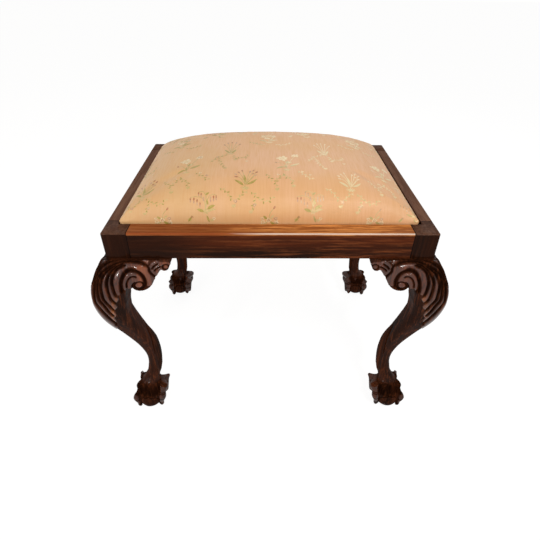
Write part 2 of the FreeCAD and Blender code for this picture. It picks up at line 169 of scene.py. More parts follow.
def in_edit_mode(piece: Piece, *steps: tuple) -> None:
    """Runs edit mode operators on a whole mesh.

    Args:
        piece: The object to edit.
        steps: Pairs of an operator of bpy.ops.mesh and its settings.
    """
    pick(piece)
    mode("EDIT")
    bpy.ops.mesh.select_all(action="SELECT")
    for operator, settings in steps:
        operator(**settings)
    mode("OBJECT")


def cut_off(piece: Piece, place: tuple, way: tuple, side: str = "outer") -> None:
    """Cuts a closed mesh with a plane and fills the cut.

    Args:
        piece: The object to cut.
        place: A point of the plane.
        way: The plane's normal.
        side: outer or inner, the side that goes.
    """
    cut = {"plane_co": place, "plane_no": way, "clear_" + side: True, "use_fill": True}
    in_edit_mode(piece, (bpy.ops.mesh.bisect, cut))


def finish_with(piece: Piece, kind: str, **settings: object) -> None:
    """Adds one modifier to a piece and applies it.

    Args:
        piece: The object to change.
        kind: The modifier's type.
        settings: Values of the modifier's properties.
    """
    pick(piece)
    bpy.ops.object.modifier_add(type=kind)
    modifier = piece.modifiers[-1]
    for name, value in settings.items():
        setattr(modifier, name, value)
    bpy.ops.object.modifier_apply(modifier=modifier.name)


def copy_of(node: str, name: str) -> Piece:
    """Copies a node of the frame as a new closed mesh.

    Args:
        node: The node's name.
        name: The name of the copy.

    Returns:
        The copy, with its doubled points merged.
    """
    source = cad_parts[node]
    piece = bpy.data.objects.new(name, source.data.copy())
    bpy.context.scene.collection.objects.link(piece)
    piece.data.materials.clear()
    in_edit_mode(piece, (bpy.ops.mesh.remove_doubles, MERGE))
    return piece


def joined(pieces: list[Piece], name: str) -> Piece:
    """Joins several objects into the first of them.

    Args:
        pieces: The objects to join.
        name: The name of the result.

    Returns:
        The joined object.
    """
    pick(pieces[0])
    for piece in pieces:
        piece.select_set(True)
    bpy.ops.object.join()
    pieces[0].name = name
    return pieces[0]


def read_rows(items: object, name: str) -> Rows:
    """Reads three numbers from each point or face of a mesh.

    Args:
        items: The points, faces or values of an attribute.
        name: What is read.

    Returns:
        A row for each.
    """
    flat = np.empty(len(items) * 3, np.float32)
    items.foreach_get(name, flat)
    return flat.reshape(-1, 3)


def points_of(piece: Piece) -> Rows:
    """Gives the points of a mesh as rows of X, Y and Z in metres."""
    return read_rows(piece.data.vertices, "co").astype(float)


def place_points(piece: Piece, points: Rows) -> None:
    """Moves the points of a mesh.

    Args:
        piece: The object to change.
        points: Rows of X, Y and Z in metres.
    """
    piece.data.vertices.foreach_set("co", points.astype(np.float32).ravel())
    piece.data.update()


def paint_points(piece: Piece, name: str, values: Rows) -> None:
    """Stores one number per point for a material to read.

    Args:
        piece: The object to change.
        name: The attribute's name.
        values: The numbers.
    """
    layer = piece.data.attributes.new(name, "FLOAT", "POINT")
    layer.data.foreach_set("value", values.astype(np.float32))


def smooth_faces(piece: Piece, degrees: float = 40.0) -> None:
    """Shades a piece smooth, except over sharp edges."""
    pick(piece)
    bpy.ops.object.shade_smooth_by_angle(angle=math.radians(degrees))


def dress(piece: Piece, material: Material) -> None:
    """Gives a piece one material in place of all that it has."""
    piece.data.materials.clear()
    piece.data.materials.append(material)


def in_place(piece: Piece, body: str, nodes: tuple[str, ...]) -> None:
    """Puts a finished piece on its body in place of its nodes.

    Args:
        piece: The finished piece.
        body: The body that it rides on.
        nodes: The nodes that it replaces.
    """
    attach(piece, body)
    if nodes:
        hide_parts(*nodes)
    LOG.info("%s rides on %s", piece.name, body)


class Shader:
    """A material's node tree, with short calls that add and link nodes."""

    def __init__(self, name: str, colour: tuple = (), world: bpy.types.World | None = None) -> None:
        """Starts an empty material.

        Args:
            name: The material's name.
            colour: Its first colour, which others are laid over.
            world: The world, where its nodes are made instead.
        """
        self.colour = colour
        self.material = world or bpy.data.materials.new(name)
        self.material.use_nodes = True
        self.tree = self.material.node_tree
        self.tree.nodes.clear()

    def add(self, kind: str, sockets: dict | None = None, **settings: object) -> bpy.types.Node:
        """Adds a node.

        Args:
            kind: The node's type, without its ShaderNode prefix.
            sockets: Values or sockets for its inputs, by name or number.
            settings: Values of its properties.

        Returns:
            The node.
        """
        node = self.tree.nodes.new("ShaderNode" + kind)
        for name, value in settings.items():
            setattr(node, name, value)
        for key, value in (sockets or {}).items():
            if isinstance(value, Socket):
                self.tree.links.new(value, node.inputs[key])
            else:
                node.inputs[key].default_value = value
        return node

    def math(self, operation: str, first: object, second: object = 0.0) -> Socket:
        """Adds a sum of two numbers and gives its result."""
        return self.add("Math", {0: first, 1: second}, operation=operation).outputs[0]

    def plus(self, first: object, second: object) -> Socket:
        """Adds two numbers."""
        return self.math("ADD", first, second)

    def times(self, first: object, second: object) -> Socket:
        """Multiplies two numbers."""
        return self.math("MULTIPLY", first, second)

    def stored(self, name: str, output: str = "Fac") -> Socket:
        """Reads an attribute of the mesh."""
        return self.add("Attribute", attribute_name=name).outputs[output]

    def axes(self, place: Socket) -> list[Socket]:
        """Gives the X, Y and Z of a place."""
        return list(self.add("SeparateXYZ", {0: place}).outputs)

    def noise(
        self, place: Socket, scale: float, detail: float = 4.0, roughness: float = 0.55
    ) -> Socket:
        """Adds soft noise and gives its height."""
        sockets = {"Vector": place, "Scale": scale, "Detail": detail, "Roughness": roughness}
        return self.add("TexNoise", sockets).outputs[0]

    def nudged(self, place: object, value: object, amount: float) -> Socket:
        """Moves a place by a number along all its axes."""
        offset = self.times(value, amount)
        return self.add("VectorMath", {0: place, 1: offset}, operation="ADD").outputs[0]

    def nudged_number(self, value: object, noise: object, amount: float) -> Socket:
        """Adds a share of centred noise to a number."""
        return self.plus(value, self.times(self.math("SUBTRACT", noise, 0.5), amount))

    def stretched(self, scale: tuple = (1.0, 1.0, 1.0)) -> Socket:
        """Gives Object coordinates, stretched along each axis."""
        place = self.add("TexCoord").outputs["Object"]
        return self.add("Mapping", {"Vector": place, "Scale": scale}).outputs[0]

    def between(
        self, value: object, low: float, high: float, start: float = 0.0, end: float = 1.0
    ) -> Socket:
        """Maps a range of numbers smoothly onto another."""
        sockets = {0: value, 1: low, 2: high, 3: start, 4: end}
        return self.add("MapRange", sockets, interpolation_type="SMOOTHSTEP").outputs[0]

    def blend(self, share: object, first: object, second: object) -> Socket:
        """Mixes two colours and gives the result."""
        settings = {"data_type": "RGBA", "blend_type": "MIX", "clamp_result": True}
        return self.add("Mix", {0: share, 6: first, 7: second}, **settings).outputs[2]

    def over(self, colour: object, share: object) -> None:
        """Lays a share of another colour over the material's own."""
        self.colour = self.blend(share, self.colour, colour)

    def bump(self, height: object, strength: float, distance: float) -> Socket:
        """Adds a bump and gives its normal."""
        sockets = {"Height": height, "Strength": strength, "Distance": distance}
        return self.add("Bump", sockets).outputs[0]

    def seen(self) -> Socket:
        """Tells whether the eye sees a place, also in a gloss or through glass."""
        path = self.add("LightPath").outputs
        seen = self.math("MAXIMUM", path["Is Camera Ray"], path["Is Glossy Ray"])
        return self.math("MAXIMUM", seen, path["Is Transmission Ray"])

    def close(
        self,
        rough: object,
        normal: object,
        specular: float = 0.5,
        metal: object = 0.0,
        coat: tuple | None = None,
        sheen: tuple | None = None,
    ) -> Material:
        """Adds the surface shader and the output.

        Args:
            rough: The roughness.
            normal: The bumped normal.
            specular: The specular level.
            metal: The share of metal.
            coat: The weight and the roughness of a polish.
            sheen: The weight and the roughness of the sheen, and its tint where it has one.

        Returns:
            The finished material.
        """
        values = {"Base Color": self.colour, "Roughness": rough, "Normal": normal}
        values.update({"Specular IOR Level": specular, "Metallic": metal})
        values.update(zip(("Coat Weight", "Coat Roughness"), coat or ()))
        values.update(zip(("Sheen Weight", "Sheen Roughness", "Sheen Tint"), sheen or ()))
        surface = self.add("BsdfPrincipled", values)
        self.add("OutputMaterial", {"Surface": surface.outputs[0]})
        return self.material


def rgb(red: float, green: float, blue: float) -> tuple:
    """Gives an opaque colour."""
    return (red, green, blue, 1.0)


@dataclass(frozen=True)
class Figure:
    """A wood's patterns: its place's X, Y and Z, its broad figure, its streaks and its pores."""

    spot: list
    broad: Socket
    streaks: Socket
    pores: Socket


@dataclass(frozen=True)
class Mahogany:
    """Polished mahogany: its tone, the run of its grain, its wear, and painted light and shade."""

    name: str
    grain: Grain
    dark: tuple = rgb(0.015, 0.0052, 0.0026)
    middle: tuple = rgb(0.052, 0.0145, 0.0062)
    light: tuple = rgb(0.12, 0.033, 0.012)
    wear_and_sheen: tuple = rgb(0.86, 0.34, 0.09)
    wear_and_sheen_deep: tuple = rgb(0.2, 0.045, 0.01)
    worn_left: tuple = rgb(0.36, 0.115, 0.034)
    dirt_and_shade: tuple = rgb(0.0035, 0.0014, 0.0008)
    ridge_tone: tuple = rgb(0.11, 0.026, 0.009)
    ridge_streak: tuple = rgb(0.4, 0.1, 0.026)
    tip_tone: tuple = rgb(0.5, 0.16, 0.04)
    arris_red: tuple = rgb(0.3, 0.07, 0.02)
    arris_highlight: tuple = rgb(0.86, 0.7, 0.58)
    edge: float = 0.0
    wear_and_sheen_above: float = 0.0
    wear_and_sheen_rough: float = 0.3
    stained_above: float = 0.0
    dark_left: bool = False
    carved: bool = False
    rail_bottom: float = 0.406
    joints: tuple = (0.238, 0.171)
    coat: float = 0.1

    def build(self) -> Material:
        """Gives the material."""
        shader = Shader(self.name, self.dark)
        fibres = [1.0, 1.0, 1.0]
        fibres[self.grain.value] = 0.07
        place = shader.stretched(tuple(fibres))
        waver = shader.noise(place, 9.0, 3.0)
        figure = shader.noise(shader.nudged(place, waver, 0.05), 30.0, 6.0, 0.62)
        pores = shader.noise(place, 620.0, 2.0, 0.5)
        streaks = shader.noise(place, 210.0, 4.0, 0.62)
        spot = shader.axes(shader.add("TexCoord").outputs["Object"])
        shader.over(self.middle, shader.between(figure, 0.34, 0.66))
        shader.over(self.light, shader.between(streaks, 0.46, 0.72, 0.0, 0.75))
        shader.over(self.dark, shader.between(pores, 0.6, 0.72, 0.0, 0.6))
        rough = shader.between(figure, 0.3, 0.7, 0.3, 0.4)
        coat = shader.between(figure, 0.3, 0.7, self.coat, self.coat * 0.7)
        wood = Figure(spot, figure, streaks, pores)
        if self.carved:
            coat = self.carving(shader, wood, coat)
        if self.stained_above:
            low, high = self.stained_above - 0.001, self.stained_above + 0.001
            shader.over(self.dark, shader.between(spot[2], low, high, 0.0, 0.75))
        if self.dark_left:
            left = shader.nudged_number(spot[0], waver, 0.16)
            shader.over(self.dark, shader.between(left, -0.02, -0.2, 0.0, 0.85))
        # Lighter tops: wear on the front rail; on the other rails and on the posts, a painted sheen
        # where light falls on them.
        if self.wear_and_sheen_above:
            ragged = shader.noise(place, 22.0, 5.0)
            edge = shader.plus(spot[2], shader.times(ragged, 0.0024))
            share = shader.between(edge, self.wear_and_sheen_above, self.wear_and_sheen_above + 0.0014, 0.0, 0.95)
            shader.over(self.top_wear_and_sheen(shader, wood), share)
            if self.edge:
                self.arris(shader, wood, ragged)
            extra = shader.math("SUBTRACT", self.wear_and_sheen_rough, rough)
            rough = shader.plus(rough, shader.times(share, extra))
        above = shader.between(spot[2], self.rail_bottom, self.rail_bottom + 0.001, 0.0, 0.9)
        for axis, joint in enumerate(self.joints):
            gap = shader.math("SUBTRACT", shader.math("ABSOLUTE", spot[axis]), joint)
            line = shader.between(shader.math("ABSOLUTE", gap), 0.0011, 0.0005)
            shader.over(self.dirt_and_shade, shader.times(line, above))
        lift = shader.plus(shader.times(pores, 0.5), streaks)
        normal = shader.bump(lift, 0.14, 0.0003)
        return shader.close(rough, normal, specular=0.0, coat=(coat, 0.16))

    def carving(self, shader: Shader, wood: Figure, coat: Socket) -> Socket:
        """Lightens the carving's ridges and tips, the ridges partly with painted highlight, and
        darkens its grooves with dark patina and painted shade.

        Args:
            shader: The material.
            wood: Its patterns.
            coat: The plain wood's polish.

        Returns:
            The new polish.
        """
        groove, ridge = shader.stored("groove"), shader.stored("ridge")
        # Painted highlight, with some wear, on the lobes' backs and the claws.
        share = shader.times(ridge, shader.between(wood.streaks, 0.35, 0.65, 0.2, 0.9))
        shader.over(self.ridge_tone, share)
        share = shader.times(ridge, shader.between(wood.broad, 0.52, 0.68, 0.0, 0.7))
        share = shader.times(share, shader.between(wood.spot[2], 0.08, 0.13))
        shader.over(self.ridge_streak, share)
        # Dark patina and painted shade in the grooves, the claws' creases and the foot's hollows.
        shader.over(self.dirt_and_shade, shader.times(groove, 0.9))
        share = shader.times(shader.stored("tip"), shader.between(wood.broad, 0.35, 0.6, 0.1, 0.95))
        shader.over(self.tip_tone, share)
        foot = shader.between(wood.spot[2], 0.1, 0.07, 0.0, 0.08)
        coat = shader.plus(shader.plus(coat, shader.times(ridge, 0.85)), foot)
        return shader.math("SUBTRACT", coat, groove)

    def top_wear_and_sheen(self, shader: Shader, wood: Figure) -> object:
        """Gives the colour of the tops: wear on the front rail, and a painted sheen on the other rails
        and the posts.

        Args:
            shader: The material.
            wood: Its patterns.

        Returns:
            The colour.
        """
        top_wear_and_sheen = self.wear_and_sheen
        if self.dark_left:
            left = shader.between(shader.nudged_number(wood.spot[0], wood.broad, 0.14), 0.05, -0.14)
            top_wear_and_sheen = shader.blend(left, self.wear_and_sheen, self.worn_left)
        top_wear_and_sheen = shader.blend(shader.between(wood.streaks, 0.42, 0.58, 0.0, 0.75), top_wear_and_sheen, self.wear_and_sheen_deep)
        top_wear_and_sheen = shader.blend(shader.between(wood.broad, 0.42, 0.66, 0.0, 0.5), top_wear_and_sheen, self.wear_and_sheen_deep)
        return shader.blend(shader.between(wood.pores, 0.58, 0.68, 0.0, 0.6), top_wear_and_sheen, self.light)

    def arris(self, shader: Shader, wood: Figure, ragged: Socket) -> None:
        """Paints a highlight along the rail's upper front edge, pale on the right and reddish on the
        left.

        Args:
            shader: The material.
            wood: Its patterns.
            ragged: The noise that makes the edge uneven.
        """
        depth = shader.math("SUBTRACT", wood.spot[2], wood.spot[1])
        depth = shader.nudged_number(depth, ragged, 0.0012)
        arris = shader.between(depth, self.edge - 0.0026, self.edge - 0.0018)
        # Painted highlight along the arris, pale to the right and reddish to the left.
        right = shader.nudged_number(wood.spot[0], wood.broad, 0.3)
        highlight_tone = shader.between(right, -0.03, 0.05, 0.0, 0.85)
        highlight_tone = shader.blend(highlight_tone, self.arris_red, self.arris_highlight)
        broken = shader.between(wood.broad, 0.3, 0.45, 0.5, 0.95)
        shader.over(highlight_tone, shader.times(arris, broken))


@dataclass(frozen=True)
class PlainWood:
    """Unpolished wood of the parts that don't show."""

    name: str
    pale: tuple
    deep: tuple
    stain: tuple

    def build(self) -> Material:
        """Gives the material."""
        shader = Shader(self.name, self.pale)
        place = shader.stretched((0.35, 1.0, 1.0))
        figure = shader.noise(place, 60.0, 5.0, 0.6)
        saw = shader.noise(shader.stretched((1.0, 0.2, 0.2)), 420.0, 2.0)
        blotch = shader.noise(shader.stretched(), 16.0, 3.0)
        shader.over(self.deep, shader.between(figure, 0.3, 0.7))
        shader.over(self.stain, shader.between(blotch, 0.52, 0.75, 0.0, 0.6))
        rough = shader.between(figure, 0.3, 0.7, 0.62, 0.8)
        lift = shader.plus(figure, shader.times(saw, 0.6))
        return shader.close(rough, shader.bump(lift, 0.3, 0.0004), specular=0.3)


@dataclass(frozen=True)
class BluedSteel:
    """Dull blued steel of screws and tacks, with rust in places."""

    name: str = "blued steel"
    blue: tuple = rgb(0.11, 0.115, 0.13)
    rust: tuple = rgb(0.14, 0.05, 0.022)

    def build(self) -> Material:
        """Gives the material."""
        shader = Shader(self.name, self.blue)
        rust = shader.noise(shader.stretched(), 380.0, 5.0, 0.65)
        shader.over(self.rust, shader.between(rust, 0.52, 0.66))
        rough = shader.between(rust, 0.4, 0.7, 0.36, 0.8)
        metal = shader.between(rust, 0.52, 0.66, 1.0, 0.1)
        return shader.close(rough, shader.bump(rust, 0.3, 0.0002), metal=metal)


@dataclass(frozen=True)
class Weave:
    """A plain woven cloth: the thickness of its yarns, its colours and its slubs."""

    name: str
    yarn: float
    pale: tuple
    deep: tuple
    gap: tuple
    stripe: tuple | None = None

    def build(self) -> Material:
        """Gives the material."""
        shader = Shader(self.name, self.pale)
        split = shader.axes(shader.add("TexCoord").outputs["Object"])
        pitch = math.pi / self.yarn
        across, back = (shader.math("SINE", shader.times(split[i], pitch)) for i in (0, 1))
        over = shader.between(shader.times(across, back), -0.5, 0.5)
        warp, weft = (shader.math("SQRT", shader.math("ABSOLUTE", wave)) for wave in (across, back))
        height = shader.times(warp, weft)
        slub = shader.noise(shader.stretched((1.0, 6.0, 1.0)), 260.0, 3.0)
        slub_two = shader.noise(shader.stretched((6.0, 1.0, 1.0)), 260.0, 3.0)
        tone = shader.times(shader.plus(slub, slub_two), 0.5)
        shader.over(self.deep, shader.between(tone, 0.35, 0.65))
        shader.over(self.deep, shader.times(over, 0.25))
        if self.stripe:
            shader.over(self.stripe, shader.times(shader.stored("stripe"), 0.85))
        shader.over(self.gap, shader.between(height, 0.35, 0.05, 0.0, 0.85))
        rough = shader.between(tone, 0.3, 0.7, 0.8, 0.95)
        lift = shader.plus(height, shader.times(over, 0.35))
        normal = shader.bump(lift, 0.8, self.yarn * 0.45)
        return shader.close(rough, normal, specular=0.15, sheen=(0.15, 0.6))


@dataclass(frozen=True)
class Felt:
    """Loose fibres: cotton wadding or curled hair."""

    name: str
    pale: tuple
    deep: tuple
    coarse: float
    depth: float

    def build(self) -> Material:
        """Gives the material."""
        shader = Shader(self.name, self.deep)
        whole = shader.stretched()
        swirl = shader.noise(whole, self.coarse * 0.3, 3.0)
        strands = shader.noise(shader.nudged(whole, swirl, 0.03), self.coarse, 6.0, 0.7)
        fine = shader.noise(shader.nudged(whole, strands, 0.01), self.coarse * 3.5, 3.0)
        shader.over(self.pale, shader.between(strands, 0.36, 0.64))
        shader.over(self.deep, shader.between(fine, 0.3, 0.7, 0.4, 0.0))
        rough = shader.between(fine, 0.3, 0.7, 0.78, 0.95)
        lift = shader.plus(strands, shader.times(fine, 0.5))
        normal = shader.bump(lift, 0.9, self.depth)
        return shader.close(rough, normal, specular=0.2, sheen=(0.3, 0.5))


@dataclass(frozen=True)
class SilkGround:
    """Peach ribbed silk: fine ribs from front to back, slubs and a soft satin gloss."""

    name: str = "peach silk"
    rib: float = 0.0011
    peach: tuple = rgb(0.77, 0.435, 0.2)
    warm: tuple = rgb(0.7, 0.36, 0.14)
    rosy: tuple = rgb(0.8, 0.46, 0.25)
    left_shade: tuple = rgb(0.68, 0.44, 0.2)
    gloss: tuple = rgb(1.0, 0.85, 0.62)

    def build(self) -> Material:
        """Gives the material."""
        shader = Shader(self.name, self.peach)
        cloth = shader.stored("cloth", "Vector")
        split = shader.axes(cloth)
        ribs = shader.math("SINE", shader.times(split[0], math.pi / self.rib))
        ribs = shader.math("ABSOLUTE", ribs)
        place = shader.add("Mapping", {"Vector": cloth, "Scale": (1.0, 0.05, 1.0)}).outputs[0]
        streaks = shader.noise(place, 460.0, 3.0, 0.6)
        broad = shader.noise(place, 60.0, 3.0, 0.55)
        cross = shader.add("Mapping", {"Vector": cloth, "Scale": (0.08, 1.0, 1.0)}).outputs[0]
        slubs = shader.noise(cross, 700.0, 2.0, 0.6)
        cloud = shader.noise(cloth, 7.0, 2.0)
        shader.over(self.rosy, shader.between(cloud, 0.35, 0.65))
        # Painted shade: the left side of the cover is darker and greener.
        left = shader.between(shader.nudged_number(split[0], cloud, 0.12), -0.02, -0.16)
        shader.over(self.left_shade, shader.times(left, 0.55))
        for share in (
            shader.between(streaks, 0.4, 0.72, 0.0, 0.4),
            shader.between(broad, 0.45, 0.75, 0.0, 0.28),
            shader.between(ribs, 0.45, 0.0, 0.0, 0.22),
        ):
            shader.over(self.warm, share)
        lift = shader.plus(ribs, shader.times(slubs, 0.7))
        lift = shader.plus(lift, shader.times(streaks, 0.8))
        rough = shader.between(streaks, 0.3, 0.7, 0.42, 0.56)
        normal = shader.bump(lift, 0.35, 0.00025)
        return shader.close(rough, normal, 0.4, sheen=(0.14, 0.35, self.gloss))


@dataclass(frozen=True)
class SilkThread:
    """One colour of the silk that the sprigs are woven with."""

    name: str
    colour: tuple
    shade: tuple
    painted_sheen: tuple = rgb(0.94, 0.76, 0.47)

    def build(self) -> Material:
        """Gives the material."""
        shader = Shader(self.name, self.colour)
        strands = shader.noise(shader.stretched((1.0, 0.12, 1.0)), 1500.0, 2.0, 0.5)
        tone = shader.noise(shader.stretched(), 170.0, 2.0)
        shader.over(self.shade, shader.between(tone, 0.42, 0.6))
        shader.over(self.shade, shader.between(strands, 0.45, 0.7, 0.0, 0.5))
        # Painted sheen: the threads on the right and towards the back turn pale gold, those near the
        # front less so.
        split = shader.axes(shader.add("TexCoord").outputs["Object"])
        towards = shader.plus(split[0], shader.times(split[1], 0.35))
        painted_sheen = shader.between(shader.nudged_number(towards, tone, 0.04), -0.04, 0.04, 0.0, 0.72)
        painted_sheen = shader.times(painted_sheen, shader.between(split[1], -0.18, -0.12, 0.35, 1.0))
        shader.over(self.painted_sheen, painted_sheen)
        rough = shader.between(strands, 0.3, 0.7, 0.4, 0.55)
        normal = shader.bump(strands, 0.5, 0.0002)
        return shader.close(rough, normal, 0.45, metal=0.12, sheen=(0.2, 0.35))


@dataclass(frozen=True)
class Stroke:
    """One cut of the gouge, or one raised line, on the knee's carving.

    Its points are distances along the face from the post's corner and heights, in millimetres.
    A negative depth raises a line.
    """

    points: tuple
    depth: float
    width: float
    fade_in: float = 4.0
    fade_out: float = 4.0


@dataclass
class CarvedLeg:
    """One cabriole leg with its brackets, cut from the frame and carved.

    The carving is worked out for the front left leg, in millimetres from its post's outer
    corner. The other legs are its mirror images.
    """

    nodes: tuple = ("front_left_leg", "front_left_long_bracket", "front_left_side_bracket")
    grid: float = 1.05
    split: float = 45.0
    split_floor: float = 325.0
    gouge_width: float = 3.1
    gouge_depth: float = 2.5
    crease_width: float = 1.15
    crease_depth: float = 0.9
    raised: float = 1.5
    gouges: tuple = (
        ((73, 391), (70, 397.5), (64, 401.8), (56, 404), (43, 405), (31, 404.5), (20, 402.3),
         (11, 398.8), (2, 394), (-8, 387), (-15, 378.5), (-20, 367), (-23, 350), (-24, 337),
         (-20.5, 326), (-16, 314), (-11, 300), (-6, 287), (-3, 278), (-4, 268)),
        ((38, 399.8), (25, 397.4), (16.5, 391), (12.5, 383), (10.5, 374), (11, 366),
         (12.5, 357), (14.5, 350), (17.5, 346)),
        ((34, 402), (22, 399), (12, 392.5), (5.5, 384), (2, 375), (1.5, 365), (2.5, 354),
         (4.5, 344), (8, 337), (12, 331)),
        ((20, 400.5), (9, 395), (0, 388), (-6, 379), (-9, 370), (-9.5, 362), (-9, 351),
         (-8, 342), (-2, 330), (2, 321), (5, 313)),
        ((-5, 389), (-11, 380), (-14.5, 370), (-15.5, 360), (-16, 349), (-15, 339),
         (-10, 328), (-6, 315), (-2, 305), (1, 299)),
        ((24, 406.5), (12, 405), (2, 401.5), (-7, 395.5), (-14, 387), (-19.5, 376), (-23, 365)),
    )
    channel: Stroke = Stroke(
        ((25, 350.5), (24.5, 358), (25, 366), (26.5, 375), (30, 384), (35, 390), (42, 393),
         (49, 392), (55, 387.5), (59.5, 380), (61.8, 371), (61.8, 362), (59.5, 354.5),
         (55.5, 350.8), (50.5, 349.8)), 3.2, 2.9,
    )
    lines: tuple = (
        Stroke(((56, 351.5), (49.5, 350.5), (43.5, 353.5), (41.2, 360), (43.5, 366.5), (49, 370)),
               2.6, 1.5, 2.0, 5.0),
        Stroke(((29, 354), (29.5, 363), (31, 372), (34, 380.5), (39, 386.3), (45, 387.6),
                (50.5, 384.5), (54.5, 378.5)), -1.3, 1.3),
        Stroke(((33, 360), (33.8, 369), (37, 377), (42, 381.5), (47.5, 381), (51.5, 376.5)), 1.5, 1.5),
        Stroke(((72.8, 393.5), (72, 387), (74.5, 381), (78, 375.5), (81, 370)), 2.4, 1.9, 0.1),
        Stroke(((74, 390), (77, 396.5), (81.5, 401.5), (87, 403.8), (90.5, 401), (91.5, 398)),
               -1.2, 1.1),
        Stroke(((75.5, 388.5), (80, 394), (86, 398.3), (90, 399.5)), 1.8, 1.6),
        Stroke(((75, 385.5), (80, 390.5), (86, 394.5), (93, 397.6), (99.5, 398.2),
                (104, 395.5), (104.6, 391)), -1.2, 1.2),
        Stroke(((78.5, 384), (84, 389), (90, 392.3), (94, 393.5)), 1.6, 1.5),
        Stroke(((80, 378), (84, 383), (89, 388), (94, 389.5)), -0.8, 1.2),
    )
    limit: tuple = (
        (-14, 248), (-7.5, 256), (-4, 262), (-4, 270), (-1, 280), (1, 290), (0, 296),
        (3.5, 301), (5.5, 307), (4.5, 313), (7, 319), (12, 326), (10.5, 332), (14.5, 338),
        (17.5, 343), (15.5, 348.5), (20, 351.5), (25, 354), (28, 360), (34, 360), (40, 357),
        (200, 350),
    )
    ball: tuple = (12.0, 12.0, 25.5)
    claw_angles: tuple = (214.0, 335.0, 398.0, 485.0)
    spurs: tuple = ((31.0, 50.5, 62.0), (124.0, 41.5, 62.0))
    spur_shape: tuple = (
        (1.0, 0, 0, 0), (1.0, 1.2, 0.4, 1.8), (0.97, 2.2, 0.6, 5), (0.917, 3.2, 0.6, 9),
        (0.861, 4.2, 0.5, 17), (0.8, 5.2, 0.6, 32), (0.722, 6.2, 1.2, 46), (0.667, 6.8, 3, 48),
        (0.6, 7.5, 6, 50), (0.4, 9, 13, 50), (0.0, 11, 12, 45), (0.0, 0, 0, 0),
    )
    spur_root: float = 13.0
    spur_edge: tuple = (2.4, 0.45)
    skin_top: float = 92.0
    skin_middle: tuple = ((92, 28.0), (84, 23.8), (70, 17.0), (58, 13.0), (45, 12.0), (0, 12.0))
    skin_radius: tuple = (
        (92, 7.5), (86, 11.0), (75, 14.5), (68, 17.6), (62, 20.6), (55, 23.4), (45, 26.0),
        (36, 28.2), (25, 28.9), (12, 27.0),
    )
    skin_arch: float = 45.0
    skin_low: float = 15.0
    skin_hollow: float = 4.6
    outer_claw: float = 203.0
    drawn_in: tuple = ((84, 0), (70, 4), (60, 8.5), (50, 8), (42, 5.5), (34, 3), (25, 1.8), (0, 1))
    ankle_limit: tuple = (
        (118, 60), (112, 15.8), (104, 14.4), (96, 14.2), (90, 14.4), (84, 15.2), (78, 17),
        (74, 19.5), (70, 24.5), (66, 33), (63, 46), (60, 60),
    )
    bare_ball: tuple = (22.0, 27.3)
    bare_below: tuple = (
        (0, 0), (0.12, 0), (0.3, 20), (0.45, 33), (0.65, 38.5), (0.85, 41.5), (1, 42.5),
    )
    leg_middle: tuple = ((185, 27), (215, 20), (247, 12), (275, 4), (303, -2), (320, -4))
    leg_slimmed: tuple = (
        (188, 0), (205, 1.5), (225, 4), (250, 5.5), (275, 6), (295, 6), (312, 3), (325, 0),
    )
    between_claws: tuple = (
        (90, 60), (80, 17.5), (72, 16.5), (64, 16.5), (57, 17.5), (50, 19.5), (44, 22.5),
        (38, 25.5), (30, 60),
    )
    shank_middle: tuple = ((92, 28), (108, 31.7), (120, 32))
    knuckles: tuple = (14.0, 29.0, 33.0, 47.0, 51.0)
    eye: tuple = ((51.6, 361.2), 5.6, 3.6)
    curl: tuple = ((100.0, 391.3), 4.3, 1.9)
    ground_top: tuple = (
        (73, 395), (77, 400), (82, 404), (87, 406), (91, 402.5), (96, 401), (101, 401),
        (106, 398.5), (112, 396.5),
    )
    ground_depth: float = 1.6
    carved_from: float = 244.0
    ring: tuple = (1.2, 1.4, 1.6)
    tendon: float = 1.7
    skin_end: float = 38.0
    spur_side: float = 24.0
    ankle: tuple = (89.0, 29.0, 0.94)
    knuckle_width: float = 1.1
    knuckle_depth: float = 0.5
    lobe_height: float = 1.2
    pieces: dict = field(default_factory=dict)

    def corner(self) -> Rows:
        """Gives the outer corner of the front left post, on the floor, in metres."""
        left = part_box("left_rail")[0][0]
        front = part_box("front_rail")[0][1]
        return np.array([left, front, 0.0])

    def rough_out(self) -> tuple[Piece, Piece]:
        """Gives the square post, and the leg and its brackets as one even mesh."""
        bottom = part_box("front_rail")[0][2]
        post = copy_of(self.nodes[0], "post")
        cut_off(post, (0, 0, bottom + 0.0001), (0, 0, 1), "inner")
        parts = [copy_of(node, "rough_" + node) for node in self.nodes]
        parts += [self.skin(), *(self.spur(*spur) for spur in self.spurs)]
        body = joined(parts, "rough_leg")
        finish_with(body, "REMESH", mode="VOXEL", voxel_size=self.grid * MM)
        cut_off(body, (0, 0, bottom - 0.0001), (0, 0, 1))
        return post, body

    def between(self, spots: Rows) -> tuple[Rows, Rows, Rows]:
        """Tells where spots lie among the claws.

        Args:
            spots: Rows that start with X and Y from the ball's middle.

        Returns:
            Each spot's direction in degrees, the angle between the two claws beside it, and how
            far it is from them, from 0 at a claw to 1 midway.
        """
        turn = np.degrees(np.arctan2(spots[:, 1], spots[:, 0])) % 360.0
        ends = np.append(self.claw_angles, self.claw_angles[0] + 360.0)
        turn = np.where(turn < ends[0], turn + 360.0, turn)
        index = np.clip(np.searchsorted(ends, turn, side="right") - 1, 0, 3)
        wide = np.diff(ends)[index]
        share = np.clip((turn - ends[index]) / wide, 0, 1)
        return turn, wide, np.sin(math.pi * share)

    @staticmethod
    def heading(angle: float) -> tuple[Rows, Rows]:
        """Gives the way that an angle in degrees points, and the way to its left."""
        way = np.array([math.cos(math.radians(angle)), math.sin(math.radians(angle))])
        return way, np.array([-way[1], way[0]])

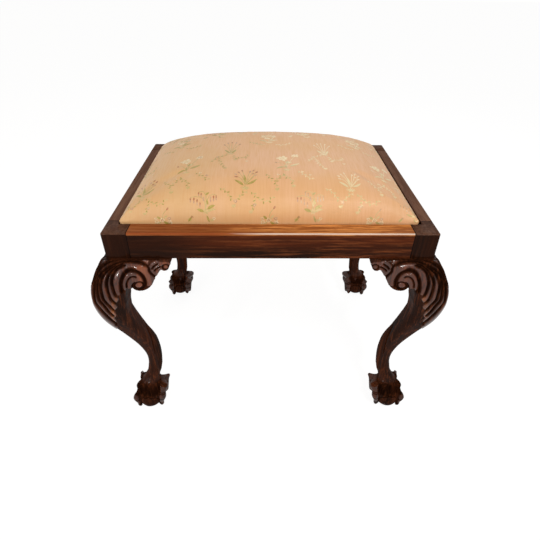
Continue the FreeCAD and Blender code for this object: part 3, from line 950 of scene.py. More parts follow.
    def skin(self) -> Piece:
        """Makes the skin that the claws lie in, arched over the ball between them.

        Returns:
            The skin as a closed form that ends inside the ball.
        """
        sphere = bpy.ops.mesh.primitive_uv_sphere_add
        piece = fresh(sphere, segments=96, ring_count=60, radius=1.0)
        unit = points_of(piece)
        turn, _, gap = self.between(unit)
        edge = self.skin_low + (self.skin_arch - self.skin_low) * gap**0.75
        down = np.arccos(np.clip(unit[:, 2], -1, 1)) / math.pi
        inside = np.clip((down - 0.8) / 0.2, 0, 1)
        height = self.skin_top + (edge - self.skin_top) * np.clip(down / 0.8, 0, 1)
        hollow = self.skin_hollow * gap**2 * ramp(-height, -76.0, -50.0)
        tendon = self.tendon * (1 - gap) ** 4 * ramp(height, 38.0, 52.0) * ramp(-height, -88.0, -72.0)
        radius = (table(height, self.skin_radius) - hollow + tendon) * (1 - inside) ** 0.5
        height = height + inside * (self.skin_end - height)
        middle = table(height, self.skin_middle)
        flat = [middle + radius * wave(np.radians(turn)) for wave in (np.cos, np.sin)]
        place_points(piece, self.corner() + np.column_stack([*flat, height]) * MM)
        return piece

    def spur(self, angle: float, reach: float, height: float) -> Piece:
        """Makes the pointed knuckle over one of the rear claws.

        Args:
            angle: The claw's direction from the ball's middle, in degrees.
            reach: How far its tip lies from the ball's middle.
            height: Its tip's height.

        Returns:
            The spur as a closed form that widens into the leg.
        """
        sphere = bpy.ops.mesh.primitive_uv_sphere_add
        piece = fresh(sphere, segments=40, ring_count=42, radius=1.0)
        unit = points_of(piece)
        down = np.arccos(np.clip(unit[:, 2], -1, 1)) / math.pi
        shape = np.array(self.spur_shape, float).T
        steps = np.linspace(0, 1, len(self.spur_shape))
        station, radius, rise, drop = (np.interp(down, steps, row) for row in shape)
        along = self.spur_root + (reach - self.spur_root) * station
        turn = np.arctan2(unit[:, 1], unit[:, 0])
        way, side = self.heading(angle)
        flat = self.ball[:2] + np.outer(along, way) + np.outer(radius * np.cos(turn), side)
        level = height + np.where(turn > 0, rise, drop) * np.sin(turn)
        place_points(piece, self.corner() + np.column_stack([flat, level]) * MM)
        in_edit_mode(piece, (bpy.ops.mesh.normals_make_consistent, {"inside": False}))
        return piece

    @staticmethod
    def pulled(offset: Rows, limit: Rows, share: Rows) -> Rows:
        """Tells how far places beyond a limit are pulled in to it.

        Args:
            offset: Rows of X and Y from the middle.
            limit: How far each place may lie from the middle.
            share: How much of the way it is pulled.

        Returns:
            Rows of X and Y.
        """
        radius = np.maximum(np.hypot(*offset.T), 1e-6)
        return offset / radius[:, None] * (np.maximum(radius - limit, 0) * share)[:, None]

    def draw_in(self, local: Rows) -> tuple[Rows, Rows]:
        """Draws in the outer front claw, the spurs' sides, the ankle and the leg's inner side.

        Args:
            local: Places in millimetres from the post's corner.

        Returns:
            The moved places, and how near each lies to the skin's edge over the ball, where a painted
            shadow line goes.
        """
        # The outer front claw.
        offset = local[:, :2] - self.ball[:2]
        radius = np.maximum(np.hypot(*offset.T), 1e-6)
        turn = np.degrees(np.arctan2(offset[:, 1], offset[:, 0])) % 360.0
        weight = ramp(-np.abs(turn - self.outer_claw), -66.0, -34.0) * ramp(radius, 14.0, 31.0)
        shift = table(local[:, 2], self.drawn_in) * weight
        moved = local.copy()
        moved[:, :2] -= offset / radius[:, None] * shift[:, None]
        height = moved[:, 2]

        # The spurs' sides, to a narrow edge.
        for angle, _, top in self.spurs:
            way, side = self.heading(angle)
            spot = moved[:, :2] - self.ball[:2]
            across = spot @ side
            width = self.spur_edge[0] + self.spur_edge[1] * np.maximum(top - height, 0)
            share = ramp(spot @ way, 23.0, 31.0) * ramp(height, 42.0, 48.0)
            excess = np.maximum(np.abs(across) - width, 0) * (np.abs(across) < self.spur_side) * share
            moved[:, :2] -= (np.sign(across) * excess)[:, None] * side

        # The ankle.
        foot, shank = (table(height, rows) for rows in (self.skin_middle, self.shank_middle))
        core = np.where(height > self.skin_top, shank, foot)[:, None]
        level, reach, share = self.ankle
        near = share * (np.abs(height - level) < reach)
        moved[:, :2] -= self.pulled(moved[:, :2] - core, table(height, self.ankle_limit), near)

        # The leg's inner side, and its outer edge just under the rail.
        slim, middle = (table(height, rows) for rows in (self.leg_slimmed, self.leg_middle))
        for axis in (0, 1):
            moved[:, axis] -= slim * ramp(moved[:, axis] - middle, 0.0, 14.0)
        moved[:, 0] += 4.0 * ramp(height, 388.0, 404.0) * ramp(-moved[:, 0], 0.0, 5.0)
        return self.bared(moved, core)

    def bared(self, moved: Rows, core: Rows) -> tuple[Rows, Rows]:
        """Bares the ball between the claws.

        Args:
            moved: Places in millimetres from the post's corner.
            core: The middle of the leg at each, for both X and Y.

        Returns:
            The moved places, and how near each lies to the skin's edge over the ball, where a painted
            shadow line goes.
        """
        low, size = self.bare_ball
        hub = np.array([*self.ball[:2], low])
        height = moved[:, 2]
        offset = moved - hub
        _, wide, gap = self.between(offset)
        gap = gap * ramp(wide, 40.0, 100.0)
        arch = table(gap, self.bare_below) - 0.5
        over = ramp(arch - height, -0.5, 0.5) * (np.linalg.norm(offset, axis=1) > size)
        limit = table(height, self.between_claws) + 60.0 * (1 - gap)
        offset[:, :2] -= self.pulled(moved[:, :2] - core, limit, 0.95 * (height < 89))
        away = np.maximum(np.linalg.norm(offset, axis=1), 1e-6)
        edge = np.exp(-(((height - arch - 0.8) / 1.5) ** 2)) * ramp(arch, 4.0, 12.0)
        return hub + offset * (1 + over * (size / away - 1))[:, None], edge

    def relax(self, body: Piece, times: int) -> None:
        """Smooths the even mesh, but for its flat top and foot.

        Args:
            body: The rough leg.
            times: How many rounds of smoothing.
        """
        points = points_of(body)
        group = body.vertex_groups.new(name="free")
        top = points[:, 2].max()
        free = np.flatnonzero((points[:, 2] < top - 0.0008) & (points[:, 2] > 0.0006))
        group.add(free.tolist(), 1.0, "REPLACE")
        finish_with(body, "SMOOTH", factor=0.5, iterations=times, vertex_group="free")

    @staticmethod
    def away_from(spots: Rows, points: tuple) -> tuple[Rows, Rows, float]:
        """Measures how far each spot lies from a smooth curve.

        Args:
            spots: Rows of distance along the face and height.
            points: The points that the curve passes.

        Returns:
            The distance from the curve, the distance along it and its whole length.
        """
        curve = smooth_line(points, 7)
        away = np.full(len(spots), 1e9)
        along = np.zeros(len(spots))
        gone = 0.0
        for start, end in zip(curve[:-1], curve[1:]):
            step = end - start
            length = float(np.hypot(*step))
            share = np.clip((spots - start) @ step / length**2, 0.0, 1.0)
            gap = np.hypot(*(spots - start - share[:, None] * step).T)
            nearer = gap < away
            away = np.where(nearer, gap, away)
            along = np.where(nearer, gone + share * length, along)
            gone += length
        return away, along, gone

    def cut(self, spots: Rows, stroke: Stroke) -> Rows:
        """Gives the strength of one stroke at each spot, from 0 to 1."""
        away, along, length = self.away_from(spots, stroke.points)
        fade = ramp(along, -0.01, stroke.fade_in) * ramp(length - along, -0.01, stroke.fade_out)
        return np.exp(-((away / stroke.width) ** 2)) * fade

    def carve(self, points: Rows, normals: Rows) -> tuple:
        """Works out how far the carving moves each point.

        Args:
            points: Places in millimetres from the post's corner.
            normals: Unit normals at the points.

        Returns:
            The move along the normal in millimetres, how deep in a groove each point lies, for its
            painted shade, and how near to a lobe's lighter tip.
        """
        front = points[:, 0] >= points[:, 1]
        along = np.where(front, points[:, 0], points[:, 1])
        height = points[:, 2]
        facing = ramp(-np.where(front, normals[:, 1], normals[:, 0]), 0.12, 0.45)
        move, dark, tips = np.zeros((3, len(points)))
        near = np.flatnonzero((height > self.carved_from) & (facing > 0.0))
        spots = np.stack([along[near], height[near]], axis=1)

        # Each flute between two lobes is a wide gouge with a thin crease along its floor.
        groove, line = np.zeros((2, len(near)))
        for points_on in self.gouges:
            wide = Stroke(points_on, self.gouge_depth, self.gouge_width, 9.0, 5.0)
            thin = Stroke(points_on, self.crease_depth, self.crease_width, 5.0, 3.0)
            groove = np.maximum(groove, self.cut(spots, wide))
            line = np.maximum(line, self.cut(spots, thin))
        lift = -self.gouge_depth * groove - self.crease_depth * line
        shade = np.maximum(0.45 * groove**2, 0.95 * line)

        # The lobes stand proud of the plain wood and end at the limit.
        inside, beyond = self.inside_limit(spots)
        low = ramp(spots[:, 1], 268.0, 290.0) * ramp(-spots[:, 1], -356.0, -346.0)
        ends = ramp(beyond, 0.0, 2.0) * ramp(-beyond, -9.0, -3.0) * low * (1 - groove)
        lift = (lift + self.raised) * inside
        shade = shade * inside

        # The scroll's channel, and the scroll's and the leaf's single strokes.
        deep = self.cut(spots, self.channel)
        lift -= self.channel.depth * deep
        shade = np.maximum(shade, 0.9 * deep**1.5)
        for stroke in self.lines:
            strength = self.cut(spots, stroke)
            lift -= stroke.depth * strength
            if stroke.depth > 0:
                shade = np.maximum(shade, 0.85 * strength)

        # Two round knobs, each in a ring-shaped groove.
        gap, wide, depth = self.ring
        for centre, size, bulge in (self.eye, self.curl):
            radius = np.hypot(*(spots - centre).T)
            dome = np.sqrt(np.clip(1 - (radius / size) ** 2, 0, 1))
            ring = np.exp(-(((radius - size - gap) / wide) ** 2))
            lift = np.where(radius < size, -0.6 + bulge * dome, lift - depth * ring)
            shade = np.where(radius < size, 0.0, np.maximum(shade, 0.9 * ring))

        # The ground over the leaf lies lower.
        over = spots[:, 1] - table(spots[:, 0], self.ground_top)
        lift -= self.ground_depth * ramp(over, 0.0, 1.2) * ramp(spots[:, 0], 72.0, 74.0)
        move[near] = lift * facing[near]
        dark[near] = np.clip(shade, 0, 1) * facing[near]
        tips[near] = ends * facing[near]
        return move, dark, tips

    def inside_limit(self, spots: Rows) -> tuple[Rows, Rows]:
        """Tells how far inside the carving's lower limit each spot lies.

        Args:
            spots: Rows of distance along the face and height.

        Returns:
            0 on the plain wood and 1 on the carving, with a short slope between them, and how
            far each spot lies inside the limit in millimetres.
        """
        away, _, _ = self.away_from(spots, self.limit)
        outline = np.array(self.limit + ((200, 500), (-200, 500), (-200, 248)), float)
        hits = np.zeros(len(spots), int)
        for start, end in zip(outline, np.roll(outline, -1, axis=0)):
            if start[1] == end[1]:
                continue
            low, high = sorted((start[1], end[1]))
            share = (spots[:, 1] - start[1]) / (end[1] - start[1])
            cross = start[0] + share * (end[0] - start[0])
            hits += (spots[:, 1] >= low) & (spots[:, 1] < high) & (cross > spots[:, 0])
        signed = np.where(hits % 2 == 1, away, -away)
        return ramp(signed, -0.9, 1.3), signed

    def claws(self, points: Rows) -> tuple[Rows, Rows]:
        """Works out the small creases over the claws' joints and round their nails.

        Args:
            points: Places in millimetres from the post's corner.

        Returns:
            The move along the normal in millimetres, and how deep in a crease each point lies, for its
            painted shade.
        """
        on_claw = ramp(np.hypot(*(points[:, :2] - self.ball[:2]).T), 26.5, 29.5)
        wide = self.knuckle_width
        crease = sum(np.exp(-(((points[:, 2] - level) / wide) ** 2)) for level in self.knuckles)
        return -self.knuckle_depth * crease * on_claw, np.clip(crease, 0, 1) * on_claw * 0.8

    def build(self) -> None:
        """Carves the front left leg, parts it at its glue lines and mirrors it."""
        post, body = self.rough_out()
        self.relax(body, 5)
        origin = self.corner()
        local, edge = self.draw_in((points_of(body) - origin) / MM)
        place_points(body, origin + local * MM)
        points = points_of(body)
        normals = read_rows(body.data.vertices, "normal").astype(float)
        move, groove, tips = self.carve(local, normals)
        claw_move, claw_groove = self.claws(local)
        place_points(body, points + normals * ((move + claw_move) * MM)[:, None])
        self.relax(body, 1)

        # The lobes' backs and the claws are lighter, partly wear and partly painted highlight; the
        # grooves get dark patina and painted shade, and the foot's hollows and the line under the
        # skin's arch get painted shade.
        ridge = (np.clip(move / self.lobe_height, 0, 1) * (1 - groove)) ** 1.5
        out = np.hypot(*(local[:, :2] - self.ball[:2]).T)
        foot = ramp(-local[:, 2], -78.0, -64.0)
        ridge = np.maximum(ridge, 0.4 * foot * ramp(out, 28.0, 33.0))
        hollow = ramp(-out, -32.0, -28.0) * (0.12 + 0.5 * ramp(local[:, 2], 44.0, 50.0))
        groove = np.maximum(groove, foot * np.maximum(hollow, 0.85 * edge))
        marks = {"groove": np.clip(groove + claw_groove, 0, 1), "ridge": ridge, "tip": tips}
        for name, values in marks.items():
            paint_points(body, name, values)
            paint_points(post, name, np.zeros(len(post.data.vertices)))
        brackets = self.part_off(body, origin)
        leg = joined([body, post], "front_left_carved_leg")
        self.pieces = dict(zip(("leg", "long_bracket", "side_bracket"), (leg, *brackets)))
        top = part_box("front_rail")[1][2]
        # The posts' tops get a painted sheen where light falls on them.
        finish = Mahogany(
            "carved mahogany",
            Grain.ALONG_Z,
            carved=True,
            wear_and_sheen=rgb(0.135, 0.066, 0.042),
            wear_and_sheen_deep=rgb(0.075, 0.034, 0.021),
            wear_and_sheen_above=top - 0.002,
            wear_and_sheen_rough=0.5,
            stained_above=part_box("front_rail")[0][2],
        ).build()
        for piece in self.pieces.values():
            dress(piece, finish)
        for side in ("left", "right"):
            for end in ("front", "back"):
                self.settle(side, end)

    def part_off(self, body: Piece, origin: Rows) -> list[Piece]:
        """Cuts both brackets off the leg along their glue lines.

        Args:
            body: The carved leg with its brackets.
            origin: The post's outer corner.

        Returns:
            The long side's bracket and the short side's bracket.
        """
        parts = []
        floor = self.split_floor * MM
        for axis in (0, 1):
            cut = origin + np.eye(3)[axis] * self.split * MM
            pick(body)
            mode("EDIT")
            bpy.ops.mesh.select_all(action="DESELECT")
            mode("OBJECT")
            centres = read_rows(body.data.polygons, "center")
            body.data.polygons.foreach_set("select", centres[:, 2] > floor)
            mode("EDIT")
            bpy.ops.mesh.bisect(plane_co=tuple(cut), plane_no=tuple(np.eye(3)[axis]))
            mode("OBJECT")
            centres = read_rows(body.data.polygons, "center")
            beyond = (centres[:, 2] > floor) & (centres[:, axis] > cut[axis])
            body.data.polygons.foreach_set("select", beyond)
            mode("EDIT")
            bpy.ops.mesh.separate(type="SELECTED")
            mode("OBJECT")
            part = [o for o in bpy.context.selected_objects if o is not body][0]
            part.name = ("long", "side")[axis] + "_bracket_carved"
            parts.append(part)
        for piece in [body] + parts:
            in_edit_mode(
                piece,
                (bpy.ops.mesh.remove_doubles, MERGE),
                (bpy.ops.mesh.fill_holes, {"sides": 0}),
            )
        return parts

    def settle(self, side: str, end: str) -> None:
        """Puts one leg's pieces in its corner.

        Args:
            side: left or right.
            end: front or back.
        """
        corner = end + "_" + side
        flips = [-1.0 if side == "right" else 1.0, -1.0 if end == "back" else 1.0, 1.0]
        for part, source in self.pieces.items():
            piece = source
            if corner != "front_left":
                piece = bpy.data.objects.new(corner, source.data.copy())
                bpy.context.scene.collection.objects.link(piece)
                piece.data.transform(Matrix.Diagonal(flips + [1.0]))
                if flips[0] * flips[1] < 0:
                    piece.data.flip_normals()
            piece.name = corner + "_carved_" + part
            smooth_faces(piece, 50.0)
            in_place(piece, "stool_frame", (corner + "_" + part,))


@dataclass
class Rails:
    """The four rails, with their grain lengthways, wear on the front one's top and a painted highlight
    along its arris, and a painted sheen on the others' tops.
    """

    worn_depth: float = 0.0035

    def build(self) -> None:
        """Gives each rail its finish."""
        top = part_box("front_rail")[1][2]
        wear_and_sheen = Mahogany(
            "worn mahogany",
            Grain.ALONG_X,
            middle=rgb(0.1, 0.021, 0.0062),
            light=rgb(0.2, 0.055, 0.017),
            wear_and_sheen_above=top - self.worn_depth,
            wear_and_sheen_rough=0.2,
            dark_left=True,
            edge=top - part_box("front_rail")[0][1],
        )
        # The side and back rails' tops get a painted sheen where light falls on them.
        matt = {
            "wear_and_sheen": rgb(0.185, 0.092, 0.056),
            "wear_and_sheen_deep": rgb(0.11, 0.05, 0.03),
            "wear_and_sheen_above": top - 0.002,
            "wear_and_sheen_rough": 0.5,
        }
        plain = Mahogany("back rail mahogany", Grain.ALONG_X, **matt)
        sides = Mahogany("side rail mahogany", Grain.ALONG_Y, **matt)
        finish_nodes(("front_rail",), wear_and_sheen.build())
        finish_nodes(("back_rail",), plain.build())
        finish_nodes(("left_rail", "right_rail"), sides.build())


def finish_nodes(names: object, material: Material) -> None:
    """Gives CAD pieces that stay as they are their material.

    Args:
        names: The nodes' names.
        material: The material.
    """
    for name in names:
        dress(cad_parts[name], material)
        LOG.info("%s keeps its node", name)


@dataclass
class SeatFrame:
    """The beech frame of the seat, the blocks in the corners, and all screws and tacks."""

    members: tuple = ("seat_frame_front", "seat_frame_back", "seat_frame_left", "seat_frame_right")
    bevel: float = 10.0

    def bevelled(self, node: str, low: Rows, high: Rows) -> Piece:
        """Copies one member and planes off the frame's outer top edges, so that the edge can roll.

        Args:
            node: The member's node.
            low: The whole frame's lowest corner in metres.
            high: Its highest corner.

        Returns:
            The bevelled member.
        """
        piece = copy_of(node, node + "_beech")
        for axis in (0, 1):
            for side, edge in ((-1, low), (1, high)):
                spot = [0.0, 0.0, high[2]]
                spot[axis] = edge[axis] - side * self.bevel * MM
                way = [0.0, 0.0, 1.0]
                way[axis] = side
                cut_off(piece, spot, way)
        return piece

    def build(self) -> None:
        """Makes the bevelled frame and gives each other piece its finish."""
        tones = rgb(0.46, 0.29, 0.15), rgb(0.33, 0.19, 0.09), rgb(0.22, 0.12, 0.06)
        beech = PlainWood("beech", *tones).build()
        tones = rgb(0.42, 0.24, 0.11), rgb(0.27, 0.14, 0.06), rgb(0.16, 0.08, 0.04)
        block = PlainWood("block pine", *tones).build()
        steel = BluedSteel().build()
        boxes = np.array([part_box(node) for node in self.members])
        for node in self.members:
            piece = self.bevelled(node, boxes[:, 0].min(axis=0), boxes[:, 1].max(axis=0))
            piece.data.materials.append(beech)
            in_place(piece, "drop_in_seat", (node,))
        corners = ("front_left", "front_right", "back_left", "back_right")
        finish_nodes([corner + "_corner_block" for corner in corners], block)
        finish_nodes(("corner_block_screws", "webbing_tacks", "cover_tacks"), steel)


@dataclass
class Webbing:
    """Seven jute strips, the cross ones woven over and under the long ones."""

    long_count: int = 3
    cross_count: int = 4
    thickness: float = 1.5
    gap: float = 0.3
    rise: float = 9.0
    step: float = 3.0
    ripple: float = 0.1

    def strip(self, node: str, line: object, along: int) -> None:
        """Makes one strip in place of its node.

        Args:
            node: The node's name.
            line: Distances along the strip and the heights of its underside there.
            along: 0 for a strip that runs along X and 1 for one along Y.
        """
        low, high = box_of(node)
        across = 1 - along
        count = int((high[along] - low[along]) / self.step)
        grid = bpy.ops.mesh.primitive_grid_add
        piece = fresh(grid, x_subdivisions=count, y_subdivisions=16, size=2.0)
        piece.name = node + "_jute"
        finish_with(piece, "SOLIDIFY", thickness=self.thickness * MM, offset=-1.0)
        flat = points_of(piece)
        half = len(flat) // 2
        share = (flat[:, :2] + 1.0) / 2.0
        points = np.zeros_like(flat)
        points[:, along] = low[along] + share[:, 0] * (high[along] - low[along])
        edge = 0.35 * np.sin(points[:, along] / 7.0) * (2 * share[:, 1] - 1)
        points[:, across] = low[across] + share[:, 1] * (high[across] - low[across]) - edge
        level = table(points[:, along], line)
        ripple = self.ripple * np.sin(points[:, along] / 11.0) * np.sin(points[:, across] / 9.0)
        points[:, 2] = level + ripple + np.where(np.arange(len(flat)) < half, self.thickness, 0.0)
        place_points(piece, points * MM)
        if along:
            in_edit_mode(piece, (bpy.ops.mesh.normals_make_consistent, {"inside": False}))
        middle = np.abs(2 * share[:, 1] - 1)
        stripe = ramp(middle, 0.62, 0.68) - ramp(middle, 0.8, 0.86)
        paint_points(piece, "stripe", stripe)
        piece.data.materials.append(self.material)
        smooth_faces(piece, 50.0)
        in_place(piece, "drop_in_seat", (node,))

    def build(self) -> None:
        """Makes all strips."""
        tones = rgb(0.5, 0.37, 0.2), rgb(0.36, 0.24, 0.12), rgb(0.09, 0.055, 0.03)
        self.material = Weave("jute webbing", 0.0024, *tones, rgb(0.24, 0.07, 0.035)).build()
        rows = [box_of(f"webbing_long_{i + 1}") for i in range(self.long_count)]
        level = rows[0][0][2]
        for index, box in enumerate(rows):
            self.strip(f"webbing_long_{index + 1}", [(box[0][0], level), (box[1][0], level)], 0)
        step = self.thickness + self.gap
        for index in range(self.cross_count):
            node = f"webbing_cross_{index + 1}"
            box = box_of(node)
            line = [(box[0][1], level)]
            for count, row in enumerate(rows):
                height = level + step * (1 if (count + index) % 2 else -1)
                start, stop = row[0][1] - self.gap, row[1][1] + self.gap
                if count == 0:
                    line.append((start - self.rise, level))
                line += [(start, height), (stop, height)]
            line += [(line[-1][0] + self.rise, level), (box[1][1], level)]
            self.strip(node, line, 1)


@dataclass
class Cushion:
    """The stuffed crown of the drop-in seat: its layers and its cover, all of one shape.

    Cloth places are distances from the middle of the seat along the cover, in millimetres. A
    layer's depth is measured under the outside of the cover.
    """

    foot: float = 456.0
    step: float = 12.7
    step_run: float = 13.0
    step_power: float = 1.6
    frame_top: float = 462.7
    runs: tuple = (255.0, 135.0)
    powers: tuple = (1.5, 1.0)
    shares: tuple = (
        (0, 0), (0.012, 0.11), (0.032, 0.25), (0.065, 0.41), (0.115, 0.57), (0.19, 0.72),
        (0.3, 0.84), (0.45, 0.92), (0.62, 0.965), (0.81, 0.99), (1, 1),
    )
    corner: float = 2.5
    corner_growth: float = 0.45
    corner_reach: float = 40.0
    turned_under: float = 32.0
    cover_thickness: float = 0.8
    wadding: tuple = (1.1, 4.1)
    calico: tuple = (4.4, 5.0)
    stuffing: float = 5.3
    pad_inset: tuple = (11.0, 8.0)
    pad_corner: float = 40.0
    hessian_corner: float = 34.0
    edge_lines: tuple = (0.0, 1.7, 3.7, 6.2, 9.4)
    cell: float = 5.7
    layer_cell: float = 4.6
    most_moved: float = 2.2
    held: float = 2.5
    pressure: float = 4.0
    frames: int = 20
    pull: float = 2.4
    lean: float = 1.8
    tacks_apart: float = 33.0
    fold: float = 1.6
    moved: tuple | None = None

    def __post_init__(self) -> None:
        """Reads the cover's sizes and works out its two middle sections."""
        low, high = box_of("top_cover")
        self.half = (high[:2] - low[:2]) / 2
        self.middle = (high[:2] + low[:2]) / 2
        self.bottom = low[2]
        self.top = high[2]
        self.side = side = self.foot - self.bottom
        share = np.linspace(0.0, 1.0, 401)
        up = table(share, self.shares)
        for _ in range(60):
            up[1:-1] = (up[:-2] + 2 * up[1:-1] + up[2:]) / 4
        self.rise = (share, up)
        self.sections = []
        for axis in (0, 1):
            fine, coarse = np.linspace(0, 12, 61)[:-1], np.linspace(12, self.half[axis], 160)
            inset = np.concatenate([fine, coarse])
            height = self.lip(inset) + self.dome(inset, axis) * (self.top - self.foot - self.step)
            self.sections.append((gone_along(inset, height), inset))
        self.reach = np.array([arc[-1] for arc, _ in self.sections])
        fold = self.fold
        self.arcs = np.array([-side - self.turned_under, -side - fold, -side, fold - side, 0.0])
        self.insets = np.array([self.turned_under, fold, 0.0, 0.0, 0.0])
        self.heights = np.array([self.bottom] * 3 + [self.bottom + fold, self.foot])
        self.inwards = np.array([0.0, 0.0, 0.75, 1.0, 1.0])
        self.downwards = np.array([-1.0, -1.0, -0.75, 0.0, 0.0])

    def lip(self, inset: Rows) -> Rows:
        """Gives how high the crown's edge has risen at a distance from it."""
        left = 1 - np.clip(inset / self.step_run, 0, 1)
        return self.step * (1 - left**self.step_power) ** (1 / self.step_power)

    def dome(self, inset: Rows, axis: int) -> Rows:
        """Gives the dome's share of its full height at a distance from one pair of sides."""
        return np.interp(inset / self.runs[axis], *self.rise) ** self.powers[axis]

    def height(self, across: Rows, along: Rows) -> Rows:
        """Gives the height of the cover's outside over spots of the plan.

        Args:
            across: Distances from the seat's middle along its width.
            along: Distances from the seat's middle along its depth.

        Returns:
            Heights in millimetres.
        """
        insets = [self.half[0] - np.abs(across), self.half[1] - np.abs(along)]
        hub = np.stack([self.corner - inset for inset in insets])
        rounded = self.corner - np.hypot(*np.maximum(hub, 0.0))
        near = np.where((hub > 0).all(axis=0), rounded, np.minimum(*insets))
        share = self.dome(insets[0], 0) * self.dome(insets[1], 1)
        return self.foot + self.lip(near) + share * (self.top - self.foot - self.step)

    def facing(self, across: Rows, along: Rows) -> Rows:
        """Gives the crown's normals over spots of the plan.

        Args:
            across: Distances from the seat's middle along its width.
            along: Distances from the seat's middle along its depth.

        Returns:
            Rows of X, Y and Z.
        """
        across = np.sign(across) * np.maximum(np.abs(across) - 0.6, 0.0)
        along = np.sign(along) * np.maximum(np.abs(along) - 0.6, 0.0)
        near = 0.4
        slope_x = self.height(across + near, along) - self.height(across - near, along)
        slope_y = self.height(across, along + near) - self.height(across, along - near)
        way = np.column_stack([-slope_x / (2 * near), -slope_y / (2 * near), np.ones(len(across))])
        return way / np.linalg.norm(way, axis=1)[:, None]

    def place(self, across: Rows, along: Rows, depth: object = 0.0) -> Rows:
        """Finds where a spot of the cloth lies on the seat, before the padding swells.

        Args:
            across: Distances from the seat's middle along its width.
            along: Distances from the seat's middle along its depth.
            depth: How far under the cover's outside.

        Returns:
            Rows of X, Y and Z in millimetres.
        """
        # The distance inside each pair of edges of the crown; below 0 past the edge, down the side.
        sides = []
        for axis, value in enumerate((across, along)):
            gone = self.reach[axis] - np.abs(value)
            sides.append(np.where(gone < 0, gone, np.interp(gone, *self.sections[axis])))
        # The nearer edge decides how far in and how high the spot lies.
        near = np.minimum(*sides)
        other = np.maximum(*sides)
        on_x_side = sides[0] <= sides[1]
        inset = np.where(near < 0, np.interp(near, self.arcs, self.insets), near)
        # Past the edge the cloth is gathered near a corner, so that both sides meet there.
        below = np.minimum(near, 0.0)
        limit = self.corner_reach
        eased = np.where(other < limit, (other - below) * limit / (limit - below), other)
        low_inset = np.where(near < 0, inset, 0.0)
        eased = np.where(eased < limit, low_inset + eased * (limit - low_inset) / limit, eased)
        # Past the edge a layer's depth points inwards, and upwards under the seat.
        in_x = np.where(near < 0, np.interp(near, self.arcs, self.inwards) * depth, 0.0)
        down = np.interp(near, self.arcs, self.downwards) * depth
        # Spots nearer to a corner than its radius are turned about its middle.
        radius = self.corner - self.corner_growth * np.where(near < 0, inset * 0.8, 0.0)
        radius = np.minimum(radius, 0.8 * (self.half[1] - inset))
        radius = np.maximum(radius, 0.5)
        gap = np.maximum(eased - inset, 0.0)
        angle = np.clip(1 - gap / radius, 0.0, 1.0) * math.pi / 4
        hub = self.half[None, :] - inset[:, None] - radius[:, None]
        cosine, sine = np.cos(angle), np.sin(angle)
        bent = [np.where(on_x_side, cosine, sine), np.where(on_x_side, sine, cosine)]
        turned = hub + np.stack([(radius - in_x) * share for share in bent], axis=1)
        # The others lie along a straight side.
        outer = self.half[:, None] - inset - in_x
        inner = self.half[:, None] - eased
        straight = np.where([on_x_side, ~on_x_side], outer, inner).T
        flat = np.where((gap < radius)[:, None], turned, straight)
        flat = np.maximum(flat, 0.0) * np.stack([np.sign(across), np.sign(along)], axis=1)
        low = np.interp(near, self.arcs, self.heights) - down
        spots = np.column_stack([flat, np.where(near < 0, low, self.height(*flat.T))])
        inward = self.facing(*flat.T) * np.where(near < 0, 0.0, depth)[:, None]
        return spots - inward + np.append(self.middle, 0.0)

    def swell(self, across: Rows, along: Rows) -> Rows:
        """Gives how far the padding moves spots of the cloth.

        Args:
            across: The spots' distances from its middle along its width.
            along: The same along its depth.

        Returns:
            Rows of X, Y and Z in millimetres.
        """
        if self.moved is None:
            return np.zeros((len(across), 3))
        *lines, field_of = self.moved
        cells, shares = [], []
        for line, spot in zip(lines, (across, along)):
            cell = np.clip(np.searchsorted(line, spot) - 1, 0, len(line) - 2)
            share = np.clip((spot - line[cell]) / np.diff(line)[cell], 0, 1)
            cells.append(cell)
            shares.append(share[:, None])
        column, row = cells
        front, back = (
            field_of[at, column] * (1 - shares[0]) + field_of[at, column + 1] * shares[0]
            for at in (row, row + 1)
        )
        return front * (1 - shares[1]) + back * shares[1]

    def grid(self, name: str, lines_x: Rows, lines_y: Rows) -> Piece:
        """Makes a flat grid with one point at each crossing of two sets of lines.

        Args:
            name: The grid's name.
            lines_x: Where the lines cross X, in millimetres.
            lines_y: Where they cross Y.

        Returns:
            The grid.
        """
        cells = {"x_subdivisions": len(lines_x) - 1, "y_subdivisions": len(lines_y) - 1}
        piece = fresh(bpy.ops.mesh.primitive_grid_add, size=2.0, **cells)
        piece.name = name
        flat = points_of(piece)
        column = np.rint((flat[:, 0] + 1) / 2 * (len(lines_x) - 1)).astype(int)
        row = np.rint((flat[:, 1] + 1) / 2 * (len(lines_y) - 1)).astype(int)
        place_points(piece, np.column_stack([lines_x[column], lines_y[row], flat[:, 2] * 0]) * MM)
        return piece

    def lines(self, axis: int, edge: float, cell: float) -> Rows:
        """Gives evenly spaced cloth lines along one axis.

        Args:
            axis: 0 for the width and 1 for the depth.
            edge: How far the cloth goes beyond the crown's edge.
            cell: The distance between lines.

        Returns:
            The lines' places.
        """
        reach = self.reach[axis]
        near = np.array(self.edge_lines)
        last = reach - near[-1]
        count = int(2 * last / cell)
        inner = np.linspace(-last, last, count + 1)
        inner = np.concatenate([near[:-1] - reach, inner, (reach - near[:-1])[::-1]])
        if edge <= 0:
            return inner
        turned = (-self.fold, 0.0, self.fold, 6.0, 15.0, self.turned_under)
        steps = [5.4, 10.7, 15.5, *(self.side + more for more in turned)]
        outer = reach + np.array([min(value, edge) for value in steps])
        return np.concatenate([-outer[::-1], inner, outer])

